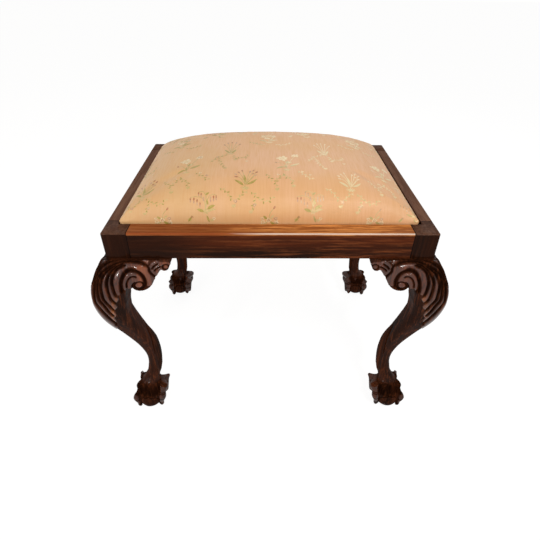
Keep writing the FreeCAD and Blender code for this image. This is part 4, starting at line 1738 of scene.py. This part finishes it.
    def scallop(self, across: Rows, along: Rows) -> Rows:
        """Gives how far the tacks pull the cover's sides in.

        Args:
            across: The spots' distances from the cloth's middle along its width.
            along: The same along its depth.

        Returns:
            Depths in millimetres.
        """
        from_x = self.reach[0] - np.abs(across)
        from_y = self.reach[1] - np.abs(along)
        near = np.minimum(from_x, from_y)
        way = np.where(from_x < from_y, along, across)
        wave = 0.5 - 0.5 * np.cos(way * 2 * math.pi / (2 * self.tacks_apart) + 0.7)
        wave = wave * (0.75 + 0.25 * np.sin(way / 41.0 + 1.3)) + 0.2 * np.sin(way / 19.0 + 0.4)
        wave = wave * np.where(from_x < from_y, 1.0, 0.35)
        lean = self.lean * np.where(across > 0, 1.0, 0.4) * ramp(-along, -190.0, 40.0)
        lean = np.where(from_x < from_y, lean, 0.0)
        fade = ramp(np.abs(from_x - from_y), 0.0, 22.0) * ramp(near, 4.0, 11.0)
        return (self.pull * wave + lean) * fade * np.exp(-(((near - 12.0) / 13.0) ** 2))

    def inflate(self) -> Piece:
        """Sews the cover and lets the padding swell it.

        Returns:
            The cover as an open cloth in its final place.
        """
        lines_x = self.lines(0, self.side + self.turned_under, self.cell)
        lines_y = self.lines(1, self.side + self.turned_under, self.cell)
        cover = self.grid("silk_cover", lines_x, lines_y)
        cloth = points_of(cover) / MM
        start = self.place(cloth[:, 0], cloth[:, 1])
        pulled = self.place(cloth[:, 0], cloth[:, 1], self.scallop(cloth[:, 0], cloth[:, 1]))
        near = (self.reach - np.abs(cloth[:, :2])).min(axis=1)
        place_points(cover, pulled * MM)
        layer = cover.data.attributes.new("cloth", "FLOAT_VECTOR", "POINT")
        layer.data.foreach_set("vector", (cloth * MM).astype(np.float32).ravel())
        self.simulate(cover, near)
        settled = points_of(cover) / MM
        settled = np.where((near < self.held)[:, None], pulled, settled)
        move = settled - start
        reach = np.linalg.norm(move, axis=1)
        share = np.minimum(1.0, self.most_moved / np.maximum(reach, 1e-6))
        fade = ramp(near, -1.0, 14.0)[:, None]
        raw = np.where(near[:, None] > -1.0, move * share[:, None], pulled - start)
        move = raw * fade + (pulled - start) * (1 - fade)
        LOG.info("the padding swells the cover by %.1f mm at most", float(reach.max()))
        place_points(cover, (start + move) * MM)
        field_of = np.zeros((len(lines_y), len(lines_x), 3))
        column = np.searchsorted(lines_x, cloth[:, 0] - 0.05)
        row = np.searchsorted(lines_y, cloth[:, 1] - 0.05)
        field_of[row, column] = move
        self.moved = (lines_x, lines_y, field_of)
        return cover

    def simulate(self, cover: Piece, near: Rows) -> None:
        """Runs the cloth with its sides held and pressure under it.

        Args:
            cover: The open cloth.
            near: Each point's distance from the crown's edge.
        """
        held = cover.vertex_groups.new(name="held")
        for index in np.flatnonzero(near < self.held).tolist():
            held.add([index], 1.0, "REPLACE")
        pick(cover)
        bpy.ops.object.modifier_add(type="CLOTH")
        cloth = cover.modifiers[-1]
        settings = {
            "quality": 6, "mass": 0.25, "tension_stiffness": 30.0, "compression_stiffness": 20.0,
            "shear_stiffness": 8.0, "bending_stiffness": 1.5, "air_damping": 4.0,
            "vertex_group_mass": "held", "use_pressure": True,
            "uniform_pressure_force": self.pressure,
        }
        for name, value in settings.items():
            setattr(cloth.settings, name, value)
        cloth.settings.effector_weights.gravity = 0.0
        cloth.collision_settings.use_collision = False
        scene = bpy.context.scene
        cloth.point_cache.frame_start = 1
        cloth.point_cache.frame_end = self.frames
        for frame_number in range(1, self.frames + 1):
            scene.frame_set(frame_number)
            bpy.context.view_layer.update()
        bpy.ops.object.modifier_apply(modifier=cloth.name)
        scene.frame_set(1)

    def layer(self, name: str, depths: tuple) -> Piece:
        """Makes one layer over the crown, between two depths.

        Args:
            name: The layer's name.
            depths: The depth of its outside and of its inside.

        Returns:
            The closed layer.
        """
        piece = self.grid(name, *(self.lines(axis, 0.0, self.layer_cell) for axis in (0, 1)))
        cloth = points_of(piece) / MM
        finish_with(piece, "SOLIDIFY", thickness=0.001, offset=-1.0)
        move = self.swell(cloth[:, 0], cloth[:, 1])
        shapes = []
        for depth in depths:
            spots = self.place(cloth[:, 0], cloth[:, 1], depth) + move
            inset = (self.half - np.abs(spots[:, :2] - self.middle)).min(axis=1)
            ground = self.frame_top - np.clip(SeatFrame.bevel + 0.9 - inset, 0, SeatFrame.bevel)
            spots[:, 2] = np.maximum(spots[:, 2], ground + (5.1 - depth) * 0.12)
            shapes.append(spots)
        place_points(piece, np.vstack(shapes) * MM)
        return piece

    @staticmethod
    def rounded(spots: Rows, half: Rows, radius: float) -> Rows:
        """Draws a rectangle of spots in to rounded corners.

        Args:
            spots: Rows of X and Y from the middle.
            half: Half the rectangle's sizes.
            radius: The radius of its corners.

        Returns:
            The moved rows.
        """
        room = half - radius
        beyond = np.maximum(np.abs(spots) - room, 0.0)
        size = np.maximum(np.hypot(*beyond.T), 1e-9)
        both = (beyond > 0).all(axis=1)
        eased = np.where(both, beyond.max(axis=1) / size, 1.0)[:, None]
        return np.sign(spots) * (np.minimum(np.abs(spots), room) + beyond * eased)

    def pad(self, name: str, node: str) -> Piece:
        """Makes the stuffing: a crown with a flat underside and upright sides.

        Args:
            name: The piece's name.
            node: The node that gives the height of its underside.

        Returns:
            The closed pad.
        """
        floor = box_of(node)[0][2]
        half = self.half - np.array(self.pad_inset)
        lines = [np.linspace(-size, size, int(2 * size / self.layer_cell)) for size in half]
        piece = self.grid(name, *lines)
        flat = points_of(piece) / MM
        finish_with(piece, "SOLIDIFY", thickness=0.001, offset=-1.0)
        spots = self.rounded(flat[:, :2], half, self.pad_corner)
        upright = self.facing(*spots.T)[:, 2]
        top = self.height(*spots.T) - self.stuffing / upright
        upper = np.column_stack([spots + self.middle, top])
        cloth = [
            np.sign(spots[:, i])
            * (self.reach[i] - np.interp(self.half[i] - np.abs(spots[:, i]), *self.sections[i][::-1]))
            for i in (0, 1)
        ]
        upper = upper + self.swell(*cloth)
        upper[:, 2] = np.maximum(upper[:, 2], floor + 0.4)
        lower = upper.copy()
        lower[:, 2] = floor
        place_points(piece, np.vstack([upper, lower]) * MM)
        return piece

    def build(self) -> None:
        """Makes the cover and every layer under it."""
        cover = self.inflate()
        cloth = read_rows(cover.data.attributes["cloth"].data, "vector") / MM
        outside = points_of(cover) / MM
        under = self.place(cloth[:, 0], cloth[:, 1], self.cover_thickness)
        under = under - self.place(cloth[:, 0], cloth[:, 1])
        finish_with(cover, "SOLIDIFY", thickness=self.cover_thickness * MM, offset=-1.0)
        place_points(cover, np.vstack([outside, outside + under]) * MM)
        finish_with(cover, "SUBSURF", levels=1)
        cover.data.materials.append(SilkGround().build())
        smooth_faces(cover, 60.0)
        in_place(cover, "drop_in_seat", ("top_cover",))
        self.cover = cover

        wadding = self.layer("cotton_wadding", self.wadding)
        tones = rgb(0.8, 0.78, 0.72), rgb(0.62, 0.59, 0.52)
        dress(wadding, Felt("cotton wadding", *tones, 420.0, 0.0006).build())
        in_place(wadding, "drop_in_seat", ("wadding",))

        calico = self.layer("calico_lining", self.calico)
        tones = rgb(0.74, 0.69, 0.58), rgb(0.63, 0.57, 0.46), rgb(0.4, 0.35, 0.27)
        dress(calico, Weave("calico", 0.0009, *tones).build())
        in_place(calico, "drop_in_seat", ("calico",))

        stuffing = self.pad("horsehair_pad", "horsehair_stuffing")
        tones = rgb(0.11, 0.075, 0.05), rgb(0.018, 0.012, 0.009)
        dress(stuffing, Felt("horsehair", *tones, 240.0, 0.0012).build())
        in_place(stuffing, "drop_in_seat", ("horsehair_stuffing",))
        for piece in (wadding, calico, stuffing):
            smooth_faces(piece, 60.0)
        self.lay_hessian()

    def lay_hessian(self) -> None:
        """Lays the hessian that carries the stuffing, between webbing and hair."""
        low, high = box_of("hessian")
        lines = [np.linspace(low[i], high[i], int((high[i] - low[i]) / 4.0)) for i in range(2)]
        piece = self.grid("hessian_cloth", *lines)
        flat = points_of(piece) / MM
        finish_with(piece, "SOLIDIFY", thickness=0.001, offset=-1.0)
        half = (high - low)[:2] / 2
        centre = (high + low)[:2] / 2
        spots = self.rounded(flat[:, :2] - centre, half, self.hessian_corner) + centre
        ripple = 0.08 * np.sin(flat[:, 0] / 17.0) * np.sin(flat[:, 1] / 13.0)
        shapes = [np.column_stack([spots, ripple + level]) for level in (high[2], low[2])]
        place_points(piece, np.vstack(shapes) * MM)
        tones = rgb(0.44, 0.31, 0.17), rgb(0.3, 0.2, 0.1), rgb(0.07, 0.045, 0.025)
        dress(piece, Weave("hessian", 0.0017, *tones).build())
        smooth_faces(piece, 50.0)
        in_place(piece, "drop_in_seat", ("hessian",))


class Silk(Enum):
    """The silks of the sprigs: name, colour, shade and height over the cover in millimetres."""

    PALE = ("pale leaf silk", rgb(0.58, 0.42, 0.16), rgb(0.68, 0.48, 0.22), 0.12)
    STRAW = ("straw silk", rgb(0.5, 0.36, 0.12), rgb(0.6, 0.44, 0.19), 0.14)
    OLIVE = ("olive silk", rgb(0.37, 0.28, 0.05), rgb(0.47, 0.35, 0.095), 0.17)
    CREAM = ("cream silk", rgb(0.84, 0.68, 0.42), rgb(0.74, 0.54, 0.29), 0.15)
    MAUVE = ("mauve silk", rgb(0.5, 0.27, 0.17), rgb(0.62, 0.38, 0.22), 0.18)
    RED = ("red silk", rgb(0.43, 0.15, 0.06), rgb(0.54, 0.27, 0.13), 0.2)


PALE, STRAW, OLIVE, CREAM, MAUVE, RED = Silk


@dataclass(frozen=True)
class Leaf:
    """A leaf, bud, petal or stem: its silk, its width and the line that it follows."""

    silk: Silk
    width: float
    line: tuple
    stem: bool = False


def stem(*line: tuple) -> Leaf:
    """Gives a thin stem along a line."""
    return Leaf(STRAW, 1.0, line, True)


def leaf(silk: Silk, width: float, *line: tuple) -> Leaf:
    """Gives a leaf along a line."""
    return Leaf(silk, width, line)


def bud(across: float, top: float, bottom: float, silk: Silk = RED) -> list[Leaf]:
    """Gives a bud that hangs from its stem: its cap and its petals.

    Args:
        across: Its place across.
        top: Its upper end.
        bottom: Its lower end.
        silk: The silk of its cap.

    Returns:
        Its two parts.
    """
    middle = top + (bottom - top) * 0.5
    return [
        Leaf(MAUVE, 2.4, ((across, middle + 1.2), (across + 0.3, bottom))),
        Leaf(silk, 2.7, ((across, top), (across, middle - 0.6))),
    ]


def rose(across: float, along: float, size: float, petals: Silk, heart: Silk) -> list[Leaf]:
    """Gives a round flower.

    Args:
        across: Its middle's place across.
        along: Its middle's place along.
        size: Its radius.
        petals: The silk of its petals.
        heart: The silk of its middle.

    Returns:
        Its petals and its heart.
    """
    leaves = []
    rings = ((7, 1.0, 0.46), (5, 0.55, 0.3)) if size > 5 else ((6, 1.0, 0.5),)
    for ring, (petal_count, share, wide) in enumerate(rings):
        for index in range(petal_count):
            turn = index * math.tau / petal_count + size + ring
            way = np.array([math.cos(turn), math.sin(turn)]) * size * share
            way = way * (1.0 if index % 2 else 0.78)
            start, stop = (tuple(np.array([across, along]) + way * part) for part in (0.3, 1.0))
            leaves.append(Leaf(heart if ring else petals, wide * size, (start, stop)))
    middle = ((across - 0.2 * size, along), (across + 0.2 * size, along))
    leaves.append(Leaf(petals if len(rings) > 1 else heart, 0.34 * size, middle))
    return leaves


def garland(*line: tuple, silk: Silk = PALE) -> list[Leaf]:
    """Gives a trailing stem with small leaves on both its sides.

    Args:
        line: The stem's points.
        silk: The silk of its leaves.

    Returns:
        The stem and its leaves.
    """
    leaves = [Leaf(PALE, 0.8, line, True)]
    curve = smooth_line(line, 8)
    gone = gone_along(*curve.T)
    for count in range(int(gone[-1] / 4.6)):
        reach = 2.5 + count * 4.6
        spot = np.array([np.interp(reach, gone, curve[:, axis]) for axis in (0, 1)])
        ahead = np.array([np.interp(reach + 1, gone, curve[:, axis]) for axis in (0, 1)]) - spot
        ahead = ahead / max(np.hypot(*ahead), 1e-6)
        side = np.array([-ahead[1], ahead[0]]) * (1 if count % 2 else -1)
        tip = spot + side * 4.0 + ahead * 3.2
        colour = silk if count % 3 == 1 else OLIVE
        leaves.append(Leaf(colour, 2.2, (tuple(spot), tuple(tip))))
    return leaves


def tuft(across: float, along: float) -> list[Leaf]:
    """Gives a small bunch of leaves at the end of a garland."""
    ends = ((-4, -2), (-2.5, -5), (0.5, -6), (3.5, -4), (4, 0))
    spot = (across, along)
    return [Leaf(PALE, 2.2, (spot, (across + x, along + y))) for x, y in ends]


def foliage(wide: float, tall: float) -> list[Leaf]:
    """Gives the pale leaves that spread from a sprig's foot."""
    upper = ((-1, 0.35), (-0.7, 0.8), (-0.2, 1), (0.35, 0.95), (0.8, 0.65), (1, 0.2))
    ends = (*upper, (-0.5, -0.4), (0.5, -0.45))
    return [Leaf(PALE, 1.8, ((0, 0), (x * wide, y * tall))) for x, y in ends]


@dataclass(frozen=True)
class Sprig:
    """One kind of sprig: where its first foot is and what grows from it, in millimetres."""

    foot: tuple
    leaves: list


def sprigs() -> tuple[Sprig, ...]:
    """Gives all the kinds of sprig of the brocade."""
    hanging = [
        *foliage(8, 8),
        stem((0, 2), (0.5, 20), (0, 37)), stem((0, 6), (-3, 23), (-15, 29), (-26, 27)),
        stem((1, 10), (4, 26), (10, 32), (17, 30)), stem((0, 30), (-5, 38), (-12.5, 37)),
        leaf(OLIVE, 5.2, (-3, 1), (-9, 4), (-15, 6)), leaf(OLIVE, 5.4, (3, 5), (9, 10), (16, 12)),
        leaf(PALE, 4.4, (3, 1), (10, 5), (17, 5)), leaf(OLIVE, 3.0, (4, 13), (1.5, 23)),
        leaf(OLIVE, 3.2, (0, 31), (5, 36)),
        *bud(-26, 27, 17), *bud(-20, 27, 15), *bud(-14.5, 24, 12), *bud(-9.5, 18, 8),
        *bud(-12.5, 37, 29), *bud(-8, 35, 27), *bud(-4, 28, 19, MAUVE), *bud(8, 28, 17, MAUVE),
        *bud(13, 30, 18), *bud(17.5, 30, 20),
    ]
    fans = [
        *foliage(9, 7),
        stem((0, 3), (-2, 25), (-6, 48)), stem((0, 8), (-8, 24), (-16, 30)),
        stem((0, 10), (-6, 30), (-12, 43)), stem((1, 10), (4, 28), (7, 44)),
        stem((1, 10), (8, 30), (13, 49)), stem((1, 10), (10, 24), (18, 42)),
        stem((1, 8), (10, 22), (16, 32)),
        leaf(OLIVE, 5.2, (-3, 7), (-11, 15), (-19, 21)), leaf(OLIVE, 4.6, (3, 9), (12, 14), (20, 22)),
        leaf(OLIVE, 4.0, (0, 13), (-1, 24), (-3, 35)),
        leaf(RED, 3.4, (-13, 28), (-20, 31)), leaf(MAUVE, 3.4, (-15, 35), (-20, 40)),
        leaf(RED, 3.4, (-11, 41), (-14, 47)), leaf(RED, 3.4, (-6, 46), (-7, 53)),
        leaf(MAUVE, 3.4, (7, 42), (8, 49)), leaf(RED, 3.4, (12, 47), (15, 53)),
        leaf(RED, 3.4, (17, 41), (21, 46)), leaf(MAUVE, 3.4, (15, 31), (20, 35)),
        leaf(RED, 3.4, (11, 36), (15, 41)),
        *garland((-44, 3), (-34, -3), (-28, -10), (-24, -18), (-18, -21)),
        *garland((-15, -20), (-8, -15), (-3, -8), (4, -5)),
        *garland((9, -5), (15, -10), (20, -18), (27, -20), (34, -25), (42, -22), (48, -14)),
        *garland((18, -19), (16, -28), (11, -37)),
        *rose(-16, -23, 4, MAUVE, CREAM), *rose(16, -30, 3.6, MAUVE, CREAM),
        *tuft(-19, -29), *tuft(10, -39),
    ]
    blooms = [
        *foliage(8, 6),
        stem((0, 0), (1, 22), (-4, 44)), stem((1, 14), (8, 38), (16, 60)),
        stem((0, 10), (-10, 30), (-18, 30)),
        leaf(OLIVE, 5.8, (6, 16), (15, 22), (24, 29)), leaf(OLIVE, 4.4, (-2, 13), (-10, 12), (-18, 6)),
        leaf(OLIVE, 3.8, (1, 26), (3, 40)), leaf(OLIVE, 3.0, (-1, 9), (-2, 24)),
        leaf(RED, 3.4, (-18, 28), (-20, 34)),
        *rose(-6, 51, 13, CREAM, PALE), *rose(18, 65, 9, CREAM, MAUVE),
        *rose(5, 32, 5.5, PALE, CREAM),
        *garland((-36, -14), (-30, -27), (-22, -37), (-15, -27), (-8, -20), (-3, -14)),
        *garland((-21, -37), (-19, -50)),
        *garland((-5, -14), (0, -27), (7, -30), (10, -44)),
        *garland((20, -2), (30, -15), (40, -27), (48, -27)),
        *rose(-16, -17, 3.2, CREAM, MAUVE), *rose(27, -4, 3.2, CREAM, MAUVE),
        *rose(40, -15, 3.2, MAUVE, CREAM),
        *tuft(-18, -51), *tuft(10, -44),
    ]
    tips = ((-14, 48), (-8, 57), (-1, 60), (7, 58), (14, 49))
    silks = (RED, MAUVE, RED, MAUVE, RED)
    spray = [
        *foliage(8, 8),
        leaf(OLIVE, 4.6, (-2, 4), (-8, 14), (-13, 23)), leaf(OLIVE, 4.6, (2, 4), (6, 13), (9, 23)),
        *(stem((0, 6), (x * 0.5, 32), (x, y)) for x, y in tips),
        *(leaf(silk, 3.4, (x, y - 1), (x * 1.2, y + 6)) for silk, (x, y) in zip(silks, tips)),
        *garland((-36, -36), (-32, -30), (-22, -16), (-14, -8), (-4, 0)),
        *garland((-19, -20), (-17, -38), (-12, -53), (-6, -63)),
        *garland((8, -8), (10, -26), (21, -20), (28, -23), (34, -8)),
        *rose(32, -38, 3.6, CREAM, MAUVE), *rose(-24, -14, 3.2, MAUVE, CREAM),
        *tuft(-6, -63), *tuft(10, -28),
    ]
    pale_blooms = [
        *foliage(9, 7),
        stem((0, 0), (0, 18), (2, 30)),
        leaf(OLIVE, 4.6, (-3, 6), (-12, 12), (-20, 13)), leaf(OLIVE, 4.4, (3, 7), (11, 15), (19, 17)),
        leaf(OLIVE, 4.0, (1, 10), (6, 22), (8, 30)),
        *rose(-4, 27, 7.5, CREAM, PALE), *rose(10, 38, 6.5, CREAM, MAUVE),
        *rose(-12, 40, 5.0, CREAM, PALE),
        *garland((-40, 6), (-30, -2), (-20, -10), (-9, -12)),
        *garland((12, -8), (24, -14), (36, -8), (46, 2)),
    ]
    roses = [
        leaf(PALE, 5.0, (-2, -2), (-10, -8), (-17, -8)), leaf(OLIVE, 4.6, (2, -2), (9, -7), (16, -5)),
        leaf(OLIVE, 4.0, (-3, 2), (-9, 8)), leaf(PALE, 4.0, (3, 3), (9, 10)),
        stem((0, 0), (2, 12), (8, 20)),
        *rose(0, 0, 5.5, CREAM, RED), *rose(12, 3, 4.0, MAUVE, CREAM), *rose(-11, 3, 3.6, CREAM, RED),
        leaf(RED, 3.0, (8, 19), (11, 25)),
        *tuft(47, 3), *rose(51, 6, 2.8, RED, CREAM),
        leaf(OLIVE, 3.4, (44, -3), (52, 8)), leaf(OLIVE, 3.4, (80, -4), (76, 9)),
        *tuft(84, 2), *rose(88, 3, 3.4, CREAM, RED),
    ]
    return (
        Sprig((-108.0, -192.0), hanging),
        Sprig((-42.0, -150.0), fans),
        Sprig((-150.0, -98.0), blooms),
        Sprig((-74.0, -22.0), spray),
        Sprig((0.0, 38.0), pale_blooms),
        Sprig((-2.0, -206.0), roses),
    )


@dataclass
class Brocade:
    """The sprigs woven into the cover, in rows that repeat over the whole cloth."""

    cushion: Cushion
    repeat: tuple = (180.5, 287.0)
    rows: int = 6
    beyond: float = 17.0
    thickness: float = 0.1

    def leaves(self) -> dict[Silk, list[tuple[Rows, float, bool]]]:
        """Gives every leaf of every sprig on the cloth, by silk.

        Returns:
            Lists of the leaf's line, its width and whether it is a stem.
        """
        found: dict = {silk: [] for silk in Silk}
        limit = self.cushion.reach + self.beyond
        for sprig in sprigs():
            for count_x in range(-3, 4):
                for count_y in range(-2, 3):
                    foot = np.array(sprig.foot) + np.array(self.repeat) * (count_x, count_y)
                    for leaf in sprig.leaves:
                        line = smooth_line(np.array(leaf.line, float) + foot, 8)
                        if (np.abs(line) < limit).all():
                            found[leaf.silk].append((line, leaf.width, leaf.stem))
        return found

    def shape(self, line: Rows, width: float, is_stem: bool) -> Rows:
        """Gives one leaf's points on the cloth: a left, a middle and a right one in each row.

        Args:
            line: The leaf's line.
            width: Its full width.
            is_stem: Whether it keeps its width to its ends.

        Returns:
            Rows of cloth places.
        """
        gone = gone_along(*line.T)
        share = np.linspace(0, 1, self.rows)
        middle = np.stack([np.interp(share * gone[-1], gone, line[:, i]) for i in (0, 1)], axis=1)
        ahead = np.gradient(middle, axis=0)
        ahead /= np.maximum(np.hypot(*ahead.T), 1e-9)[:, None]
        side = np.stack([-ahead[:, 1], ahead[:, 0]], axis=1)
        if is_stem:
            half = np.full(self.rows, width / 2)
        else:
            half = width / 2 * np.maximum(np.sin(math.pi * share**0.85) ** 0.7, 0.06)
        left = middle + side * half[:, None]
        right = middle - side * half[:, None]
        return np.stack([left, middle, right], axis=1).reshape(-1, 2)

    def weave(self, silk: Silk, leaves: list) -> Piece:
        """Makes all leaves of one silk and lays them on the cover.

        Args:
            silk: The silk.
            leaves: Its leaves.

        Returns:
            The leaves as one thin piece.
        """
        title, colour, shade, height = silk.value
        grid = bpy.ops.mesh.primitive_grid_add
        piece = fresh(grid, x_subdivisions=2, y_subdivisions=self.rows - 1, size=1.0)
        piece.name = title.replace(" ", "_")
        one = points_of(piece)
        column = np.rint((0.5 + one[:, 0]) * 2).astype(int)
        row = np.rint((0.5 + one[:, 1]) * (self.rows - 1)).astype(int)
        order = row * 3 + (2 - column)
        spread = {"use_relative_offset": False, "use_constant_offset": True}
        apart = (0.0, 0.0, 0.01)
        finish_with(piece, "ARRAY", count=len(leaves), constant_offset_displace=apart, **spread)
        shapes = np.vstack([self.shape(*leaf)[order] for leaf in leaves])
        cushion = self.cushion
        spots = cushion.place(shapes[:, 0], shapes[:, 1]) + cushion.swell(shapes[:, 0], shapes[:, 1])
        place_points(piece, spots * MM)
        wrap = {"wrap_method": "NEAREST_SURFACEPOINT", "wrap_mode": "ABOVE_SURFACE"}
        finish_with(piece, "SHRINKWRAP", target=cushion.cover, offset=height * MM, **wrap)
        finish_with(piece, "SOLIDIFY", thickness=self.thickness * MM, offset=-1.0)
        piece.data.materials.append(SilkThread(title, colour, shade).build())
        smooth_faces(piece, 60.0)
        in_place(piece, "drop_in_seat", ())
        LOG.info("%s has %d leaves", piece.name, len(leaves))
        return piece

    def build(self) -> list[str]:
        """Makes every silk's piece and gives their names."""
        return [self.weave(silk, leaves).name for silk, leaves in self.leaves().items()]


@dataclass
class Studio:
    """The camera, the floor and the lights."""

    lens: float = 27.54
    place: tuple = (-0.01134, -0.79361, 0.80576)
    yaw: float = -0.97
    pitch: float = -36.15
    roll: float = -0.62
    glow: float = 1.17
    glow_share: float = 0.78
    ambient: float = 0.36
    lamps: tuple = (
        ("key", (0.42, -1.5, 2.05), 0.5, 9.6, (1.0, 0.97, 0.92)),
        ("spark", (0.62, -1.2, 1.9), 0.14, 10.2, (1.0, 0.97, 0.93)),
        ("back", (0.5, 1.7, 1.8), 0.9, 5.0, (1.0, 0.97, 0.93)),
        ("fill", (-1.4, -1.2, 1.2), 0.9, 5.0, (0.98, 0.98, 1.0)),
        ("window", (-0.9, -1.5, 0.95), 0.12, 4.0, (1.0, 0.97, 0.94)),
    )

    def camera(self) -> None:
        """Makes the camera that sees the stool as the photograph does."""
        data = bpy.data.cameras.new("camera")
        data.lens = self.lens
        data.sensor_width = 36.0
        data.clip_start = 0.01
        camera = bpy.data.objects.new("camera", data)
        bpy.context.scene.collection.objects.link(camera)
        turn = Matrix.Identity(4)
        for degrees, axis in ((self.yaw, "Z"), (self.pitch, "X"), (self.roll, "Y"), (90.0, "X")):
            turn = turn @ Matrix.Rotation(math.radians(degrees), 4, axis)
        camera.matrix_world = Matrix.Translation(self.place) @ turn
        bpy.context.scene.camera = camera

    def floor(self) -> None:
        """Lays a plain pale floor that keeps a soft shadow."""
        floor = fresh(bpy.ops.mesh.primitive_plane_add, size=30.0, location=(0, 0, 0))
        floor.name = "floor"
        shader = Shader("pale floor")
        seen = shader.seen()
        matt = shader.add("BsdfDiffuse", {"Color": rgb(0.86, 0.86, 0.86)})
        glow = shader.add("Emission", {"Color": rgb(1, 1, 1), "Strength": self.glow})
        share = shader.times(seen, self.glow_share)
        mixed = shader.add("MixShader", {0: share, 1: matt.outputs[0], 2: glow.outputs[0]})
        shader.add("OutputMaterial", {"Surface": mixed.outputs[0]})
        floor.data.materials.append(shader.material)

    def lamp(self, name: str, place: tuple, size: float, power: float, colour: tuple) -> None:
        """Hangs a square lamp that looks at the stool.

        Args:
            name: The lamp's name.
            place: Where it hangs.
            size: The length of its sides.
            power: Its power in watts.
            colour: The colour of its light.
        """
        data = bpy.data.lights.new(name, "AREA")
        data.size = size
        data.energy = power
        data.color = colour
        lamp = bpy.data.objects.new(name, data)
        bpy.context.scene.collection.objects.link(lamp)
        lamp.location = place
        aim = Vector((0, 0, 0.35)) - Vector(place)
        lamp.rotation_euler = aim.to_track_quat("-Z", "Y").to_euler()

    def build(self) -> None:
        """Makes the whole studio."""
        scene = bpy.context.scene
        scene.view_settings.view_transform = "Standard"
        self.camera()
        self.floor()
        world = Shader("studio", world=bpy.data.worlds.new("studio"))
        scene.world = world.material
        seen = world.seen()
        soft = world.add("Background", {0: rgb(1.0, 0.97, 0.93), 1: self.ambient})
        white = world.add("Background", {0: rgb(1, 1, 1), 1: 1.0})
        mixed = world.add("MixShader", {0: seen, 1: soft.outputs[0], 2: white.outputs[0]})
        world.add("OutputWorld", {"Surface": mixed.outputs[0]})
        for lamp in self.lamps:
            self.lamp(*lamp)


def main() -> None:
    """Builds every piece in order."""
    logging.basicConfig(level=logging.INFO, format="%(message)s")
    Studio().build()
    Rails().build()
    CarvedLeg().build()
    SeatFrame().build()
    Webbing().build()
    cushion = Cushion()
    cushion.build()
    Brocade(cushion).build()


if __name__ == "__main__":
    main()
